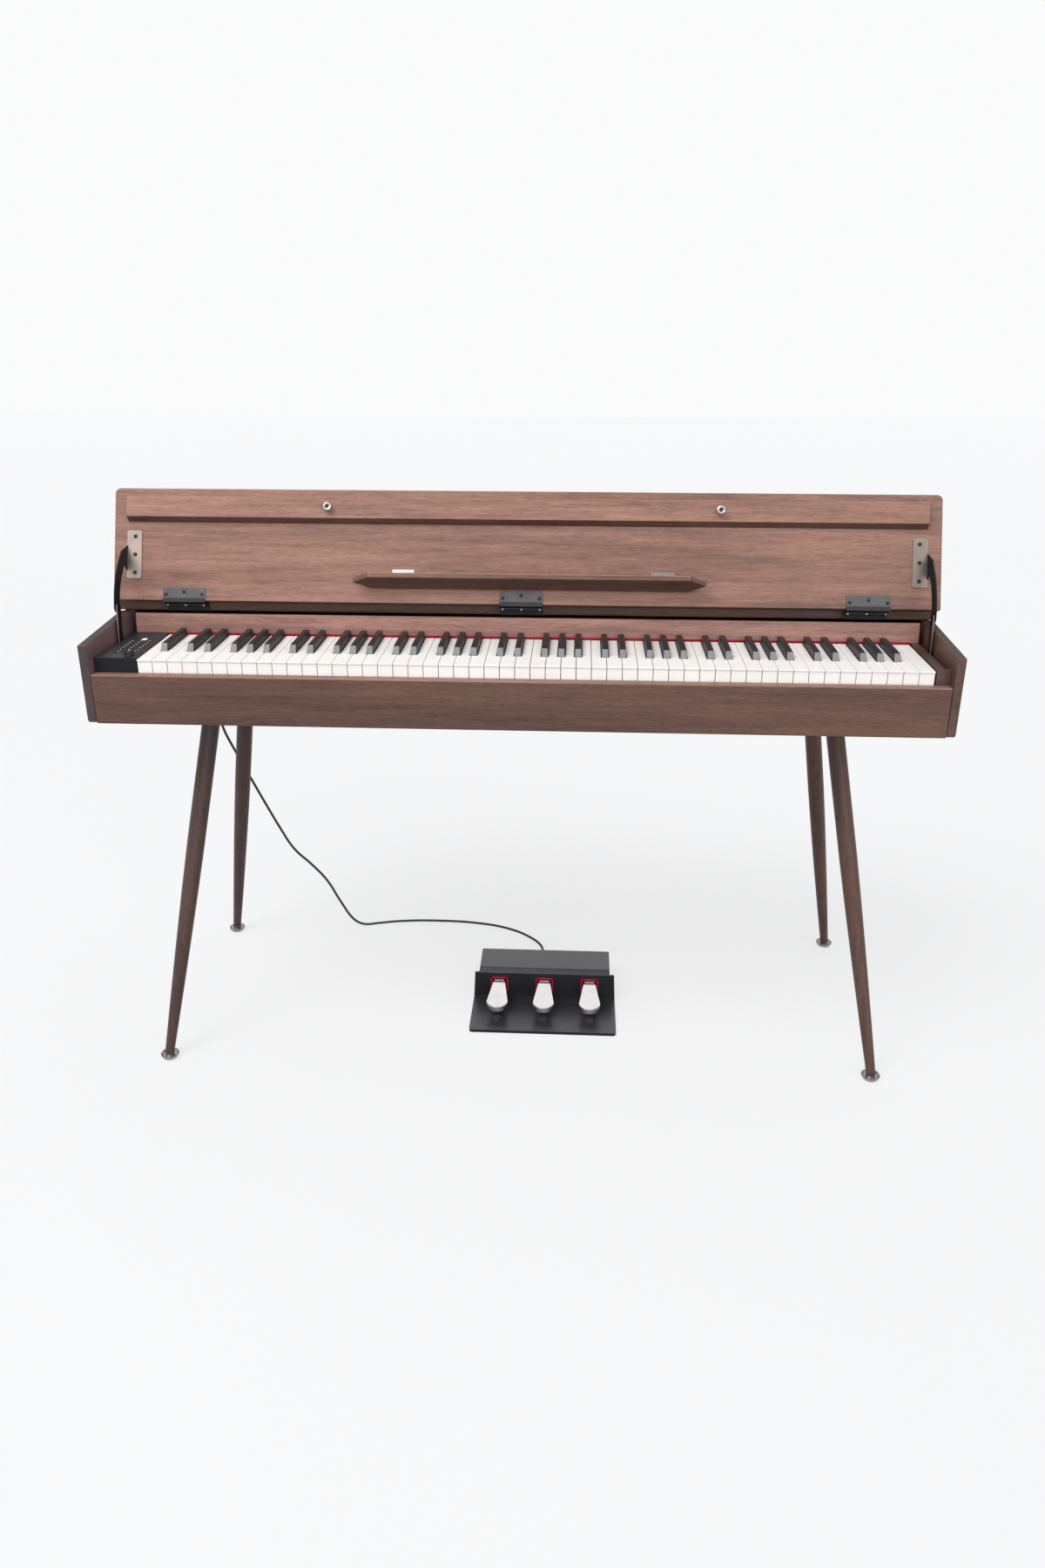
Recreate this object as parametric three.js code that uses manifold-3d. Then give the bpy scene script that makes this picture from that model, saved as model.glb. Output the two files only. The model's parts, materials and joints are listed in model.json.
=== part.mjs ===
// Digital piano with a folding lid, on four splayed legs, with a pedal unit on the floor.
// Millimetres. X runs along the keyboard to the right, Y from the player to the back, Z up.
// The origin is on the floor, midway between the end panels and midway front to back.

import * as THREE from 'three';
import { mergeVertices } from 'three/addons/utils/BufferGeometryUtils.js';
import Module from 'manifold-3d';

const wasm = await Module();
wasm.setup();
const { degToRad, lerp } = THREE.MathUtils;

// Driving dimensions of the whole instrument
const cabinetWidth = 1345;        // over the end panels
const footprintDepth = 492;       // front of the rail to the back of the rear glides
const keyTopHeight = 738;         // top of the white keys above the floor
const gap = 0.3;                  // between pieces that touch
const overrun = 1;                // by which a cutter passes the face that it cuts

// Cabinet boards
const panelThickness = 13.5;
const panelDepth = 475;
const panelCornerRadius = 8;
const cabinetDrop = 100;          // underside of the cabinet below the key tops
const railThickness = 18;
const railDrop = 20.5;             // top of the front rail below the key tops
const railToKeys = 20;            // front of the rail to the fronts of the keys
const bottomThickness = 18;
const backThickness = 15;
const topBoardThickness = 22;
const topBoardRise = 8.7;         // top of the board above the hinge line
const topBoardOverhang = 8.5;     // past each end panel
const topBoardRearOverhang = 2;

// Lid, measured from its hinge line
const hingeSetback = 168;         // hinge line behind the fronts of the keys
const hingeRise = 47.5;           // hinge line above the key tops
const hingeToBoard = 13;          // hinge line to the front edge of the top board
const lidLength = 187;
const lidThickness = 18;
const lidCornerRadius = 9.5;
const lidEdgeAboveHinge = 4.84;
const lidFaceAheadOfHinge = 9.46;
const lidLean = degToRad(21.7);   // open lid, back from upright
const lidTravel = degToRad(115.25);

// Lid hinges
const hingeCentreShares = [-0.4171, 0.00074, 0.4197]; // of the cabinet's width
const hingeWidth = 71;
const hingeMiddleWidth = 24;      // knuckle of the lower leaf
const leafThickness = 1.6;
const lowerLeafThickness = 2;
const lowerLeafRise = 2.2;        // top of the lower leaf above the hinge line
const leafHeight = 19.5;
const barrelRadius = 2.9;
const hingePinRadius = 1.2;
const hingePinClearance = 0.35;
const leafScrewRadius = 3.2;
const leafScrewHeight = 0.8;
const leafScrewRise = 8;
const leafScrewStagger = 4;
const leafScrewPitch = 26;

// Fold-over strip on the lid, and its knobs
const flapHinge = 173;            // its hinge line above the lid's lower edge
const flapHeight = 39.7;
const flapThickness = 12;
const flapBevel = 5;
const flapEndGap = 2;
const knobCentreShares = [-0.23717, 0.23941]; // of the cabinet's width
const knobRadius = 7;
const knobNeckRadius = 4;
const knobLength = 12;
const knobHeadLength = 6;
const knobDrop = 19.5;            // below the strip's hinge line

// Music ledge
const ledgeCentreShare = 0.009665; // of the cabinet's width
const ledgeSeat = 31.8;            // its hinge line above the lid's lower edge
const ledgeDepth = 36;
const ledgeThickness = 9;
const ledgeWidthShare = 0.38632;  // of the cabinet's width, at both long edges
const ledgeTipShare = 0.42974;
const ledgeLift = degToRad(67);   // open ledge, out from the lid

// Lid stays
const stayRoom = 8;               // slot between each end panel and the block beside the keys
const bracketWidth = 25;
const bracketFoot = 36;           // above the lid's lower edge
const bracketHeight = 80;
const bracketThickness = 1.6;
const flangeThickness = 1.5;
const flangeWidth = 44;
const flangeRadius = 9;
const stayPivotRise = 70;         // upper pivot above the lid's lower edge
const stayPivotReach = 22;        // upper pivot ahead of the lid's face
const stayPivotRadius = 3;
const stayPivotClearance = 0.3;
const armThickness = 2;
const armWidth = 18;
const armBulge = 20;
const strutThickness = 1.8;
const strutWidth = 16;
const strutLength = 77.9;
const strutLean = degToRad(7.48);
const strutSetback = 100.86;      // lower pivot behind the fronts of the keys
const strutDrop = 21.22;          // lower pivot below the key tops

// Keyboard
const keyPitchShare = 0.0175167;  // of the cabinet's width
const keyGap = 1;
const keyboardShiftShare = 0.016952; // middle of the keyboard right of the cabinet's middle
const whiteCount = 52;
const middleFirst = 23;           // middle octave, its seven white keys made singly
const middleCount = 7;
const whiteLength = 215;
const whiteDepth = 14;
const whiteOverhang = 1.6;
const whitePlate = 2.5;
const whiteLipDrop = 24;
const whiteLipDepth = 6;
const webDepth = 11;
const webDrop = 6;
const blackSetback = 50;
const blackLength = 100;
const blackHeight = 12;
const blackSlope = 6.5;
const blackFootDrop = 30;
const blackTailDrop = 16;
const blackTail = 200;            // rear end of a black key behind the fronts of the white keys
const blackFootWidth = 10.8;
const blackTopWidth = 9.2;
const blackSideGap = 1.1;
const blackEndGap = 1.1;
const bankRailDepth = 14;
const blackShiftShares = [-0.09, 0.09, null, -0.12, 0, 0.12, null];
const firstLetter = 5;            // the lowest key is an A, the sixth letter of an octave from C

// Key bed
const bedThickness = 11.7;
const bedRear = 225;
const bedFrontGap = 4;
const bedSideGap = 7.5;
const stopSetback = 8;
const stopDepth = 12;
const stopDrop = 38;
const ridgeTopDepth = 1.5;
const ridgeFootDepth = 8;

// Blocks beside the keys, and the fascia behind the keys
const blockRise = 2;
const blockDepth = 185;
const cheekDepth = 8;             // front of each block, which closes the slot of the stay
const leftBlockGap = 1.7;
const rightBlockGap = 2.3;
const fasciaSetback = 153;
const fasciaHeight = 31.8;
const fasciaThickness = 6;
const fasciaLean = 4;
const fasciaLeftInset = 6;
const fasciaRightInset = 1;

// Controls on the left block
const buttonRows = 7;
const buttonColumns = 3;
const buttonPitchShare = 0.29586; // of the mat's opening
const buttonPitchY = 10.5;
const buttonRadius = 3.4;
const buttonHoleRadius = 3.9;
const buttonHeight = 1.6;
const buttonFirst = 33;           // first row behind the fronts of the keys
const panelSkin = 3;
const matThickness = 2;
const matMargin = 6;
const matSideGap = 0.6;
const volumeRadius = 7.5;
const volumeHeight = 8;
const volumeSetback = 13;
const volumeInset = 14.7;         // from the block's inner side
const volumeChamfer = 1;

// Legs and glides
const legPlateRadius = 40;
const legPlateThickness = 5;
const legHeadInset = 154;         // from the side of the cabinet
const legHeadFront = 136;         // front heads behind the fronts of the keys
const legHeadRear = 114;          // rear heads ahead of the back of the cabinet
const legFootFrontInset = 52;     // from the side of the cabinet
const legFootRearInset = 44;
const legFootFront = -2;
const legRadii = [15, 15, 13.15, 10.25, 8];
const legLengthShares = [0, 0.4, 0.64, 0.86, 1];
const glideRadius = 15;
const glideRim = 3;
const glideNeckRadius = 5.5;
const glideDomeHeight = 9;
const glideHeight = 12;

// Pedal unit
const pedalUnitX = 44;
const boxWidth = 251;
const boxDepth = 89;
const boxHeight = 65;
const boxFront = 217;             // behind the fronts of the keys
const boxEdge = 10;
const boxWall = 4;
const plateWidth = 273;
const plateFront = 101.5;          // behind the fronts of the keys
const plateThickness = 6;
const plateCorner = 6;
const wallHeight = 58;            // front wall of the pedal unit, as wide as its plate
const pedalPitch = 87;
const pedalRear = 46;             // pedal axis behind the front of the box
const pedalReach = 91;            // ahead of the front of the box
const pedalSlotHeight = 46;
const pedalTipHeight = 34;
const pedalThickness = 6;
const pedalNeckWidth = 22;
const pedalTipWidth = 40;
const pedalNeckLength = 4;
const pedalSlotSide = 1.5;
const pedalSlotAbove = 2;
const pedalSlotBelow = 7;
const pedalRidgeDepth = 6;
const glandRadius = 5;
const glandLength = 6;
const glandShift = -8;            // from the middle of the pedal unit
const glandHeight = 22;

// Cable and its plug
const cableRadius = 2.5;
const cableSides = 8;
const cableSteps = 80;
const plugRadius = 5.5;
const plugLength = 25;
const plugPinRadius = 2.8;
const plugPinLength = 12;
const plugHoleClearance = 0.4;
const plugInset = 60.5;           // from the side of the cabinet
const plugSetback = 35;           // ahead of the back of the cabinet
const cableFloorGap = 0.3;
const cableLoopSetback = 58;      // loop on the floor behind the rear glides

// Route of the cable's middle: across from the gland to the plug, back from the gland to the
// loop or forward from there to the plug, and up from the floor to the gland or to the plug
const cableFloorShares = [
  [0, 0.06, 0.97], [0, 0.14, 0.7], [0, 0.225, 0.3], [0.0005, 0.3, 0.07],
  [0.001, 0.365, 0], [0.006, 0.509, 0], [0.045, 0.692, 0], [0.125, 0.873, 0],
  [0.222, 0.966, 0], [0.347, 1, 0], [0.488, 0.971, 0], [0.565, 0.912, 0],
];
const cableRiseShares = [
  [0.599, 0.263, 0.0013], [0.62, 0.311, 0.0102], [0.639, 0.347, 0.0282], [0.677, 0.421, 0.1037],
  [0.716, 0.484, 0.192], [0.756, 0.558, 0.253], [0.81, 0.653, 0.3235], [0.847, 0.726, 0.4055],
  [0.87, 0.768, 0.463], [0.915, 0.842, 0.578], [0.96, 0.926, 0.6975], [0.988, 0.979, 0.783],
  [0.9985, 1, 0.881], [1, 1, 0.955],
];

// Facets
const fineSides = 16;
const smallSides = 10;
const cornerSteps = 5;
const legSides = 14;

// Levels and lines that the pieces share
const frontY = -footprintDepth / 2;
const keyFrontY = frontY + railToKeys;
const rearY = frontY + panelDepth;
const undersideZ = keyTopHeight - cabinetDrop;
const floorBoardZ = undersideZ + bottomThickness;
const innerHalf = cabinetWidth / 2 - panelThickness;
const boardHalf = innerHalf - gap;
const topHalf = cabinetWidth / 2 + topBoardOverhang;
const blockHalf = innerHalf - stayRoom;
const flangeX = innerHalf - gap - flangeThickness;
const armX = flangeX - gap - armThickness;
const strutX = armX - gap - strutThickness;
const hingeY = keyFrontY + hingeSetback;
const hingeZ = keyTopHeight + hingeRise;
const boardFrontY = hingeY + hingeToBoard;
const legFootRear = footprintDepth / 2 - glideRadius;
const topBoardZ = hingeZ + topBoardRise - topBoardThickness;
const keyPitch = cabinetWidth * keyPitchShare;
const keyboardShift = cabinetWidth * keyboardShiftShare;
const keysLeft = keyboardShift - whiteCount * keyPitch / 2;
const keysRight = keyboardShift + whiteCount * keyPitch / 2;
const bedZ = floorBoardZ + gap;
const bedTopZ = bedZ + bedThickness;
const plugX = plugInset - cabinetWidth / 2;
const plugY = rearY - plugSetback;
const glandX = pedalUnitX + glandShift;

const piano = new THREE.Group();

const walnut = { color: 0x7a4f42, roughness: 0.55, metalness: 0 };
const walnutLight = { color: 0x96705f, roughness: 0.5, metalness: 0 };
const blackMetal = { color: 0x16161a, roughness: 0.4, metalness: 0.6 };
const stayMetal = { color: 0x8d7d72, roughness: 0.4, metalness: 0.7 };
const chrome = { color: 0xd8dadd, roughness: 0.12, metalness: 1 };
const ivory = { color: 0xf2f0ea, roughness: 0.35, metalness: 0 };
const ebony = { color: 0x17171a, roughness: 0.35, metalness: 0 };
const panelBlack = { color: 0x1b1a1c, roughness: 0.55, metalness: 0 };
const charcoal = { color: 0x2c2b2d, roughness: 0.6, metalness: 0 };
const rubber = { color: 0x2a2a2a, roughness: 0.85, metalness: 0 };

// A closed three.js geometry as a solid, turned right side out
function toSolid(geometry) {
  geometry.deleteAttribute('normal');
  geometry.deleteAttribute('uv');
  const merged = mergeVertices(geometry);
  const index = merged.index.array;
  const corners = [];
  for (let i = 0; i < index.length; i += 3) {
    const [a, b, c] = index.slice(i, i + 3);
    if (a !== b && b !== c && c !== a) corners.push(a, b, c);
  }
  const vertProperties = new Float32Array(merged.attributes.position.array);
  const solid = makeSolid(vertProperties, corners);
  return solid.volume() > 0 ? solid : makeSolid(vertProperties, corners.reverse());
}

function makeSolid(vertProperties, corners) {
  const triVerts = new Uint32Array(corners);
  return new wasm.Manifold(new wasm.Mesh({ numProp: 3, vertProperties, triVerts }));
}

function block([x0, x1], [y0, y1], [z0, z1]) {
  const geometry = new THREE.BoxGeometry(x1 - x0, y1 - y0, z1 - z0);
  geometry.translate((x0 + x1) / 2, (y0 + y1) / 2, (z0 + z1) / 2);
  return toSolid(geometry);
}

function extrudeShape(shape, depth, basis, origin) {
  const options = { depth, bevelEnabled: false, curveSegments: cornerSteps };
  const geometry = new THREE.ExtrudeGeometry(shape, options);
  geometry.applyMatrix4(new THREE.Matrix4().makeBasis(...basis).setPosition(origin));
  return toSolid(geometry);
}

const axisX = new THREE.Vector3(1, 0, 0);
const axisY = new THREE.Vector3(0, 1, 0);
const axisZ = new THREE.Vector3(0, 0, 1);
const polygon = (points) => new THREE.Shape(points.map(([a, b]) => new THREE.Vector2(a, b)));

// Outline in Y and Z, drawn out along X
function sideShape(shape, x0, x1) {
  return extrudeShape(shape, x1 - x0, [axisY, axisZ, axisX], new THREE.Vector3(x0, 0, 0));
}

function sideProfile(points, x0, x1) {
  return sideShape(polygon(points), x0, x1);
}

// Outline in X and Z, drawn out along Y
function frontShape(shape, y0, y1) {
  const basis = [axisX, axisZ, axisY.clone().negate()];
  return extrudeShape(shape, y1 - y0, basis, new THREE.Vector3(0, y1, 0));
}

// Outline in X and Y, drawn out along Z
function planShape(shape, z0, z1) {
  return extrudeShape(shape, z1 - z0, [axisX, axisY, axisZ], new THREE.Vector3(0, 0, z0));
}

function rod(from, to, radius, sides) {
  const way = to.clone().sub(from);
  const geometry = new THREE.CylinderGeometry(radius, radius, way.length(), sides);
  geometry.applyQuaternion(new THREE.Quaternion().setFromUnitVectors(axisY, way.normalize()));
  const middle = from.clone().add(to).divideScalar(2);
  geometry.translate(middle.x, middle.y, middle.z);
  return toSolid(geometry);
}

const rodX = (y, z, x0, x1, radius, sides) => rod(
  new THREE.Vector3(x0, y, z), new THREE.Vector3(x1, y, z), radius, sides);
const rodZ = (x, y, z0, z1, radius, sides) => rod(
  new THREE.Vector3(x, y, z0), new THREE.Vector3(x, y, z1), radius, sides);

// A profile of radius and height, turned about the upright axis
function turned(profile, sides) {
  const points = profile.map(([radius, height]) => new THREE.Vector2(radius, height));
  const geometry = new THREE.LatheGeometry(points, sides);
  geometry.rotateX(Math.PI / 2);
  return geometry;
}

function piece(name, solid, look, parent = piano) {
  const { vertProperties, triVerts } = solid.getMesh();
  const geometry = new THREE.BufferGeometry();
  geometry.setAttribute('position', new THREE.BufferAttribute(vertProperties, 3));
  geometry.setIndex(new THREE.BufferAttribute(triVerts, 1));
  geometry.computeVertexNormals();
  const mesh = new THREE.Mesh(geometry, new THREE.MeshStandardMaterial(look));
  mesh.name = name;
  parent.add(mesh);
}

const joined = (solids) => solids.reduce((whole, solid) => whole.add(solid));
const mirrored = (side, a, b) => (side > 0 ? [a, b] : [-b, -a]);
const sides = [['left', -1], ['right', 1]];

// Lid frame: x as the piano's, y out of the lid's back, z up the lid from its lower edge
const lid = new THREE.Group();
lid.rotation.x = -lidLean;
const lidUp = new THREE.Vector2(Math.sin(lidLean), Math.cos(lidLean));
const lidAhead = new THREE.Vector2(-Math.cos(lidLean), Math.sin(lidLean));
const lidFoot = new THREE.Vector2(hingeY, hingeZ)
  .addScaledVector(lidUp, lidEdgeAboveHinge)
  .addScaledVector(lidAhead, lidFaceAheadOfHinge);
lid.position.set(0, lidFoot.x, lidFoot.y);
piano.add(lid);

// Height of the closed lid's inner face above a place on the Y axis
function closedLidZ(y) {
  const slope = lidTravel - lidLean - Math.PI / 2;
  const footY = hingeY - lidEdgeAboveHinge * Math.cos(slope) + lidFaceAheadOfHinge * Math.sin(slope);
  const footZ = hingeZ - lidEdgeAboveHinge * Math.sin(slope) - lidFaceAheadOfHinge * Math.cos(slope);
  return footZ - (footY - y) * Math.tan(slope);
}

function makePanels() {
  const shape = new THREE.Shape();
  shape.moveTo(rearY, undersideZ);
  shape.lineTo(rearY, topBoardZ - gap);
  shape.lineTo(hingeY - lidEdgeAboveHinge / 2, topBoardZ - gap);
  shape.lineTo(hingeY - lidEdgeAboveHinge, closedLidZ(hingeY - lidEdgeAboveHinge) - gap);
  shape.lineTo(frontY, closedLidZ(frontY) - gap);
  shape.lineTo(frontY, undersideZ + panelCornerRadius);
  shape.absarc(frontY + panelCornerRadius, undersideZ + panelCornerRadius, panelCornerRadius,
    Math.PI, Math.PI * 3 / 2, false);
  for (const [side, sign] of sides) {
    const [x0, x1] = mirrored(sign, innerHalf, cabinetWidth / 2);
    piece(`end_panel_${side}`, sideShape(shape, x0, x1), walnut);
  }
}

function makeBoards() {
  const across = [-boardHalf, boardHalf];
  const railBack = frontY + railThickness;
  piece('front_rail', block(across, [frontY, railBack], [undersideZ, keyTopHeight - railDrop]), walnut);
  const backFront = rearY - backThickness;
  const socket = rodZ(plugX, plugY, undersideZ - overrun, floorBoardZ + overrun,
    plugPinRadius + plugHoleClearance, smallSides);
  const bottom = block(across, [railBack + gap, backFront - gap], [undersideZ, floorBoardZ]);
  piece('bottom_board', bottom.subtract(socket), walnut);
  piece('back_panel', block(across, [backFront, rearY], [undersideZ, topBoardZ - gap]), walnut);
  piece('top_board', block([-topHalf, topHalf], [boardFrontY, rearY + topBoardRearOverhang],
    [topBoardZ, topBoardZ + topBoardThickness]), walnutLight);
}

// Leaning board behind the keys
function makeFascia() {
  const footY = keyFrontY + fasciaSetback;
  const footZ = keyTopHeight + blockRise + gap;
  const outline = [
    [footY, footZ],
    [footY + fasciaThickness, footZ],
    [footY + fasciaThickness + fasciaLean, footZ + fasciaHeight],
    [footY + fasciaLean, footZ + fasciaHeight],
  ];
  const board = sideProfile(outline, -blockHalf + fasciaLeftInset, blockHalf - fasciaRightInset);
  piece('fascia_board', board, walnutLight);
}

// A bar with sloping sides, on which the keys pivot
function ridge(rearLine, drop) {
  const top = keyTopHeight - drop - gap;
  const outline = [
    [rearLine, top],
    [rearLine - ridgeTopDepth, top],
    [rearLine - ridgeTopDepth - ridgeFootDepth / 2, bedZ],
    [rearLine + ridgeFootDepth / 2, bedZ],
  ];
  return sideProfile(outline, keysLeft, keysRight);
}

function makeKeyBed() {
  const across = [-innerHalf + bedSideGap, innerHalf - bedSideGap];
  const base = block(across, [frontY + railThickness + bedFrontGap, keyFrontY + bedRear],
    [bedZ, bedTopZ]);
  const stopY = keyFrontY + stopSetback;
  const stop = block([keysLeft, keysRight], [stopY, stopY + stopDepth],
    [bedZ, keyTopHeight - stopDrop]);
  const ridges = [
    ridge(keyFrontY + whiteLength, whiteDepth),
    ridge(keyFrontY + blackTail, blackFootDrop),
  ];
  piece('key_bed', joined([base, stop, ...ridges]), panelBlack);
}

// Pin on the outer side of a block, which carries the foot of the stay
function stayPin(sign) {
  const [x0, x1] = mirrored(sign, blockHalf - overrun, strutX + strutThickness);
  return rodX(strutFoot.x, strutFoot.y, x0, x1, stayPivotRadius, smallSides);
}

// Front of a block, drawn out to the end panel
function cheek(sign) {
  return block(mirrored(sign, blockHalf - overrun, innerHalf - gap),
    [keyFrontY, keyFrontY + cheekDepth], blockZ);
}

const strutFoot = new THREE.Vector2(keyFrontY + strutSetback, keyTopHeight - strutDrop);
const blockLeftEdge = keysLeft - leftBlockGap;
const matLeft = -blockHalf + matMargin;
const matRight = blockLeftEdge - matMargin;
const matFront = keyFrontY + buttonFirst - buttonPitchY;
const matRear = matFront + (buttonRows + 1) * buttonPitchY;
const blockTop = keyTopHeight + blockRise;
const blockY = [keyFrontY, keyFrontY + blockDepth];
const blockZ = [bedTopZ + gap, blockTop];

function buttonPlaces() {
  const places = [];
  const middle = (matLeft + matRight) / 2;
  const pitch = (matRight - matLeft) * buttonPitchShare;
  for (let row = 0; row < buttonRows; row += 1) {
    for (let column = 0; column < buttonColumns; column += 1) {
      const x = middle + (column - (buttonColumns - 1) / 2) * pitch;
      places.push([x, keyFrontY + buttonFirst + row * buttonPitchY]);
    }
  }
  return places;
}

function makeControls() {
  const skinZ = blockTop - panelSkin;
  let body = block([-blockHalf, blockLeftEdge], blockY, blockZ);
  body = body.subtract(block([matLeft, matRight], [matFront, matRear], [bedTopZ, skinZ]));
  const matTop = skinZ - gap;
  let mat = block([matLeft + matSideGap, matRight - matSideGap],
    [matFront + matSideGap, matRear - matSideGap], [matTop - matThickness, matTop]);
  for (const [x, y] of buttonPlaces()) {
    body = body.subtract(rodZ(x, y, skinZ - overrun, blockTop + overrun, buttonHoleRadius, smallSides));
    mat = mat.add(rodZ(x, y, matTop - matThickness / 2, blockTop + buttonHeight, buttonRadius, smallSides));
  }
  piece('control_panel', joined([body, cheek(-1), stayPin(-1)]), panelBlack);
  piece('button_comb', mat, rubber);
  const foot = blockTop + gap;
  const knob = toSolid(turned([[0, foot], [volumeRadius, foot],
    [volumeRadius, foot + volumeHeight - volumeChamfer],
    [volumeRadius - volumeChamfer, foot + volumeHeight], [0, foot + volumeHeight]], fineSides)
    .translate(blockLeftEdge - volumeInset, keyFrontY + volumeSetback, 0));
  piece('volume_knob', knob, blackMetal);
}

function makeRightBlock() {
  const body = block([keysRight + rightBlockGap, blockHalf], blockY, blockZ);
  piece('key_block_right', joined([body, cheek(1), stayPin(1)]), walnut);
}

// Places of the black keys: the white key on the left of each, and its middle
function blackCentre(index) {
  const share = index < whiteCount - 1 ? blackShiftShares[(index + firstLetter) % 7] : null;
  return share === null ? null : keysLeft + (index + 1 + share) * keyPitch;
}

function whiteKey(index) {
  const outline = [
    [-whiteOverhang, 0], [whiteLength, 0], [whiteLength, -whiteDepth],
    [whiteLipDepth, -whiteDepth], [whiteLipDepth, -whiteLipDrop], [0, -whiteLipDrop],
    [0, -whitePlate], [-whiteOverhang, -whitePlate],
  ].map(([y, z]) => [keyFrontY + y, keyTopHeight + z]);
  const left = keysLeft + index * keyPitch;
  let key = sideProfile(outline, left + keyGap / 2, left + keyPitch - keyGap / 2);
  for (const neighbour of [index - 1, index]) {
    const centre = neighbour >= 0 ? blackCentre(neighbour) : null;
    if (centre === null) continue;
    const half = blackFootWidth / 2 + blackSideGap;
    key = key.subtract(block([centre - half, centre + half],
      [keyFrontY + blackSetback - blackEndGap, keyFrontY + blackTail],
      [keyTopHeight - whiteLipDrop, keyTopHeight + overrun]));
  }
  return key;
}

function blackKey(centre) {
  const outline = [
    [blackSetback, -blackFootDrop], [blackSetback, 0], [blackSetback + blackSlope, blackHeight],
    [blackSetback + blackLength, blackHeight], [blackSetback + blackLength, -blackTailDrop],
    [blackTail, -blackTailDrop], [blackTail, -blackFootDrop],
  ].map(([y, z]) => [keyFrontY + y, keyTopHeight + z]);
  const half = blackFootWidth / 2;
  const topHalfWidth = blackTopWidth / 2;
  const section = polygon([
    [centre - half, keyTopHeight - blackFootDrop - overrun], [centre - half, keyTopHeight],
    [centre - topHalfWidth, keyTopHeight + blackHeight], [centre - topHalfWidth,
      keyTopHeight + blackHeight + overrun],
    [centre + topHalfWidth, keyTopHeight + blackHeight + overrun],
    [centre + topHalfWidth, keyTopHeight + blackHeight],
    [centre + half, keyTopHeight], [centre + half, keyTopHeight - blackFootDrop - overrun],
  ]);
  return sideProfile(outline, centre - half, centre + half)
    .intersect(frontShape(section, keyFrontY, keyFrontY + whiteLength));
}

function keyRange(first, count) {
  return Array.from({ length: count }, (_, step) => first + step);
}

// Neighbouring keys of one colour, joined by the rail behind them
function keyBank(name, first, count) {
  const whites = keyRange(first, count);
  const left = keysLeft + first * keyPitch + keyGap / 2;
  const right = left + count * keyPitch - keyGap;
  const web = block([left, right], [keyFrontY + whiteLength - webDepth, keyFrontY + whiteLength],
    [keyTopHeight - whiteDepth, keyTopHeight - webDrop]);
  piece(`white_keys_${name}`, joined([web, ...whites.map(whiteKey)]), ivory);
  const centres = whites.map(blackCentre).filter((centre) => centre !== null);
  const rail = block([centres[0], centres[centres.length - 1]],
    [keyFrontY + blackTail - bankRailDepth, keyFrontY + blackTail],
    [keyTopHeight - blackFootDrop, keyTopHeight - blackTailDrop]);
  piece(`black_keys_${name}`, joined([rail, ...centres.map(blackKey)]), ebony);
}

function makeKeys() {
  keyBank('bass', 0, middleFirst);
  const trebleFirst = middleFirst + middleCount;
  keyBank('treble', trebleFirst, whiteCount - trebleFirst);
  const letters = ['c', 'd', 'e', 'f', 'g', 'a', 'b'];
  for (const index of keyRange(middleFirst, middleCount)) {
    const letter = letters[index - middleFirst];
    piece(`key_${letter}4`, whiteKey(index), ivory);
    const centre = blackCentre(index);
    if (centre !== null) piece(`key_${letter}sharp4`, blackKey(centre), ebony);
  }
}

// Lower leaf: a plate on the top board's edge, a web and the middle knuckle with the pin
function lowerLeaf(centre) {
  const half = hingeWidth / 2;
  const middle = hingeMiddleWidth / 2;
  const plateBack = boardFrontY - gap;
  const plate = block([centre - half, centre + half], [plateBack - lowerLeafThickness, plateBack],
    [topBoardZ + gap, hingeZ + lowerLeafRise]);
  const web = block([centre - middle, centre + middle], [hingeY, plateBack - lowerLeafThickness / 2],
    [hingeZ - barrelRadius, hingeZ - barrelRadius + leafThickness]);
  const knuckle = rodX(hingeY, hingeZ, centre - middle, centre + middle, barrelRadius, fineSides);
  const pin = rodX(hingeY, hingeZ, centre - half, centre + half, hingePinRadius, smallSides);
  return joined([plate, web, knuckle, pin]);
}

// Upper leaf in the lid's frame: a plate on the lid, a foot under its edge and two knuckles
function upperLeaf(centre) {
  const half = hingeWidth / 2;
  const room = hingeMiddleWidth / 2 + gap;
  const face = -gap - leafThickness;
  const plate = block([centre - half, centre + half], [face, -gap], [-gap - leafThickness, leafHeight]);
  const foot = block([centre - half, centre + half], [face, lidFaceAheadOfHinge],
    [barrelRadius / 2 - lidEdgeAboveHinge, -gap]);
  const barrel = rodX(lidFaceAheadOfHinge, -lidEdgeAboveHinge, centre - half, centre + half,
    barrelRadius, fineSides);
  const notch = block([centre - room, centre + room],
    [lidFaceAheadOfHinge - barrelRadius - gap, lidFaceAheadOfHinge + barrelRadius + overrun],
    [-lidEdgeAboveHinge - barrelRadius - overrun, overrun]);
  const bore = rodX(lidFaceAheadOfHinge, -lidEdgeAboveHinge, centre - half - overrun,
    centre + half + overrun, hingePinRadius + hingePinClearance, smallSides);
  let leaf = joined([plate, foot, barrel]).subtract(notch).subtract(bore);
  for (const step of [-1, 0, 1]) {
    const rise = leafScrewRise + (step === 0 ? leafScrewStagger : 0);
    const x = centre + step * leafScrewPitch;
    leaf = leaf.add(rod(new THREE.Vector3(x, -gap - leafThickness / 2, rise),
      new THREE.Vector3(x, face - leafScrewHeight, rise), leafScrewRadius, smallSides));
  }
  return leaf;
}

function makeHinges() {
  const names = ['left', 'middle', 'right'];
  hingeCentreShares.forEach((share, i) => {
    const centre = cabinetWidth * share;
    piece(`hinge_leaf_lower_${names[i]}`, lowerLeaf(centre), blackMetal);
    piece(`hinge_leaf_upper_${names[i]}`, upperLeaf(centre), blackMetal, lid);
  });
}

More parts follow.
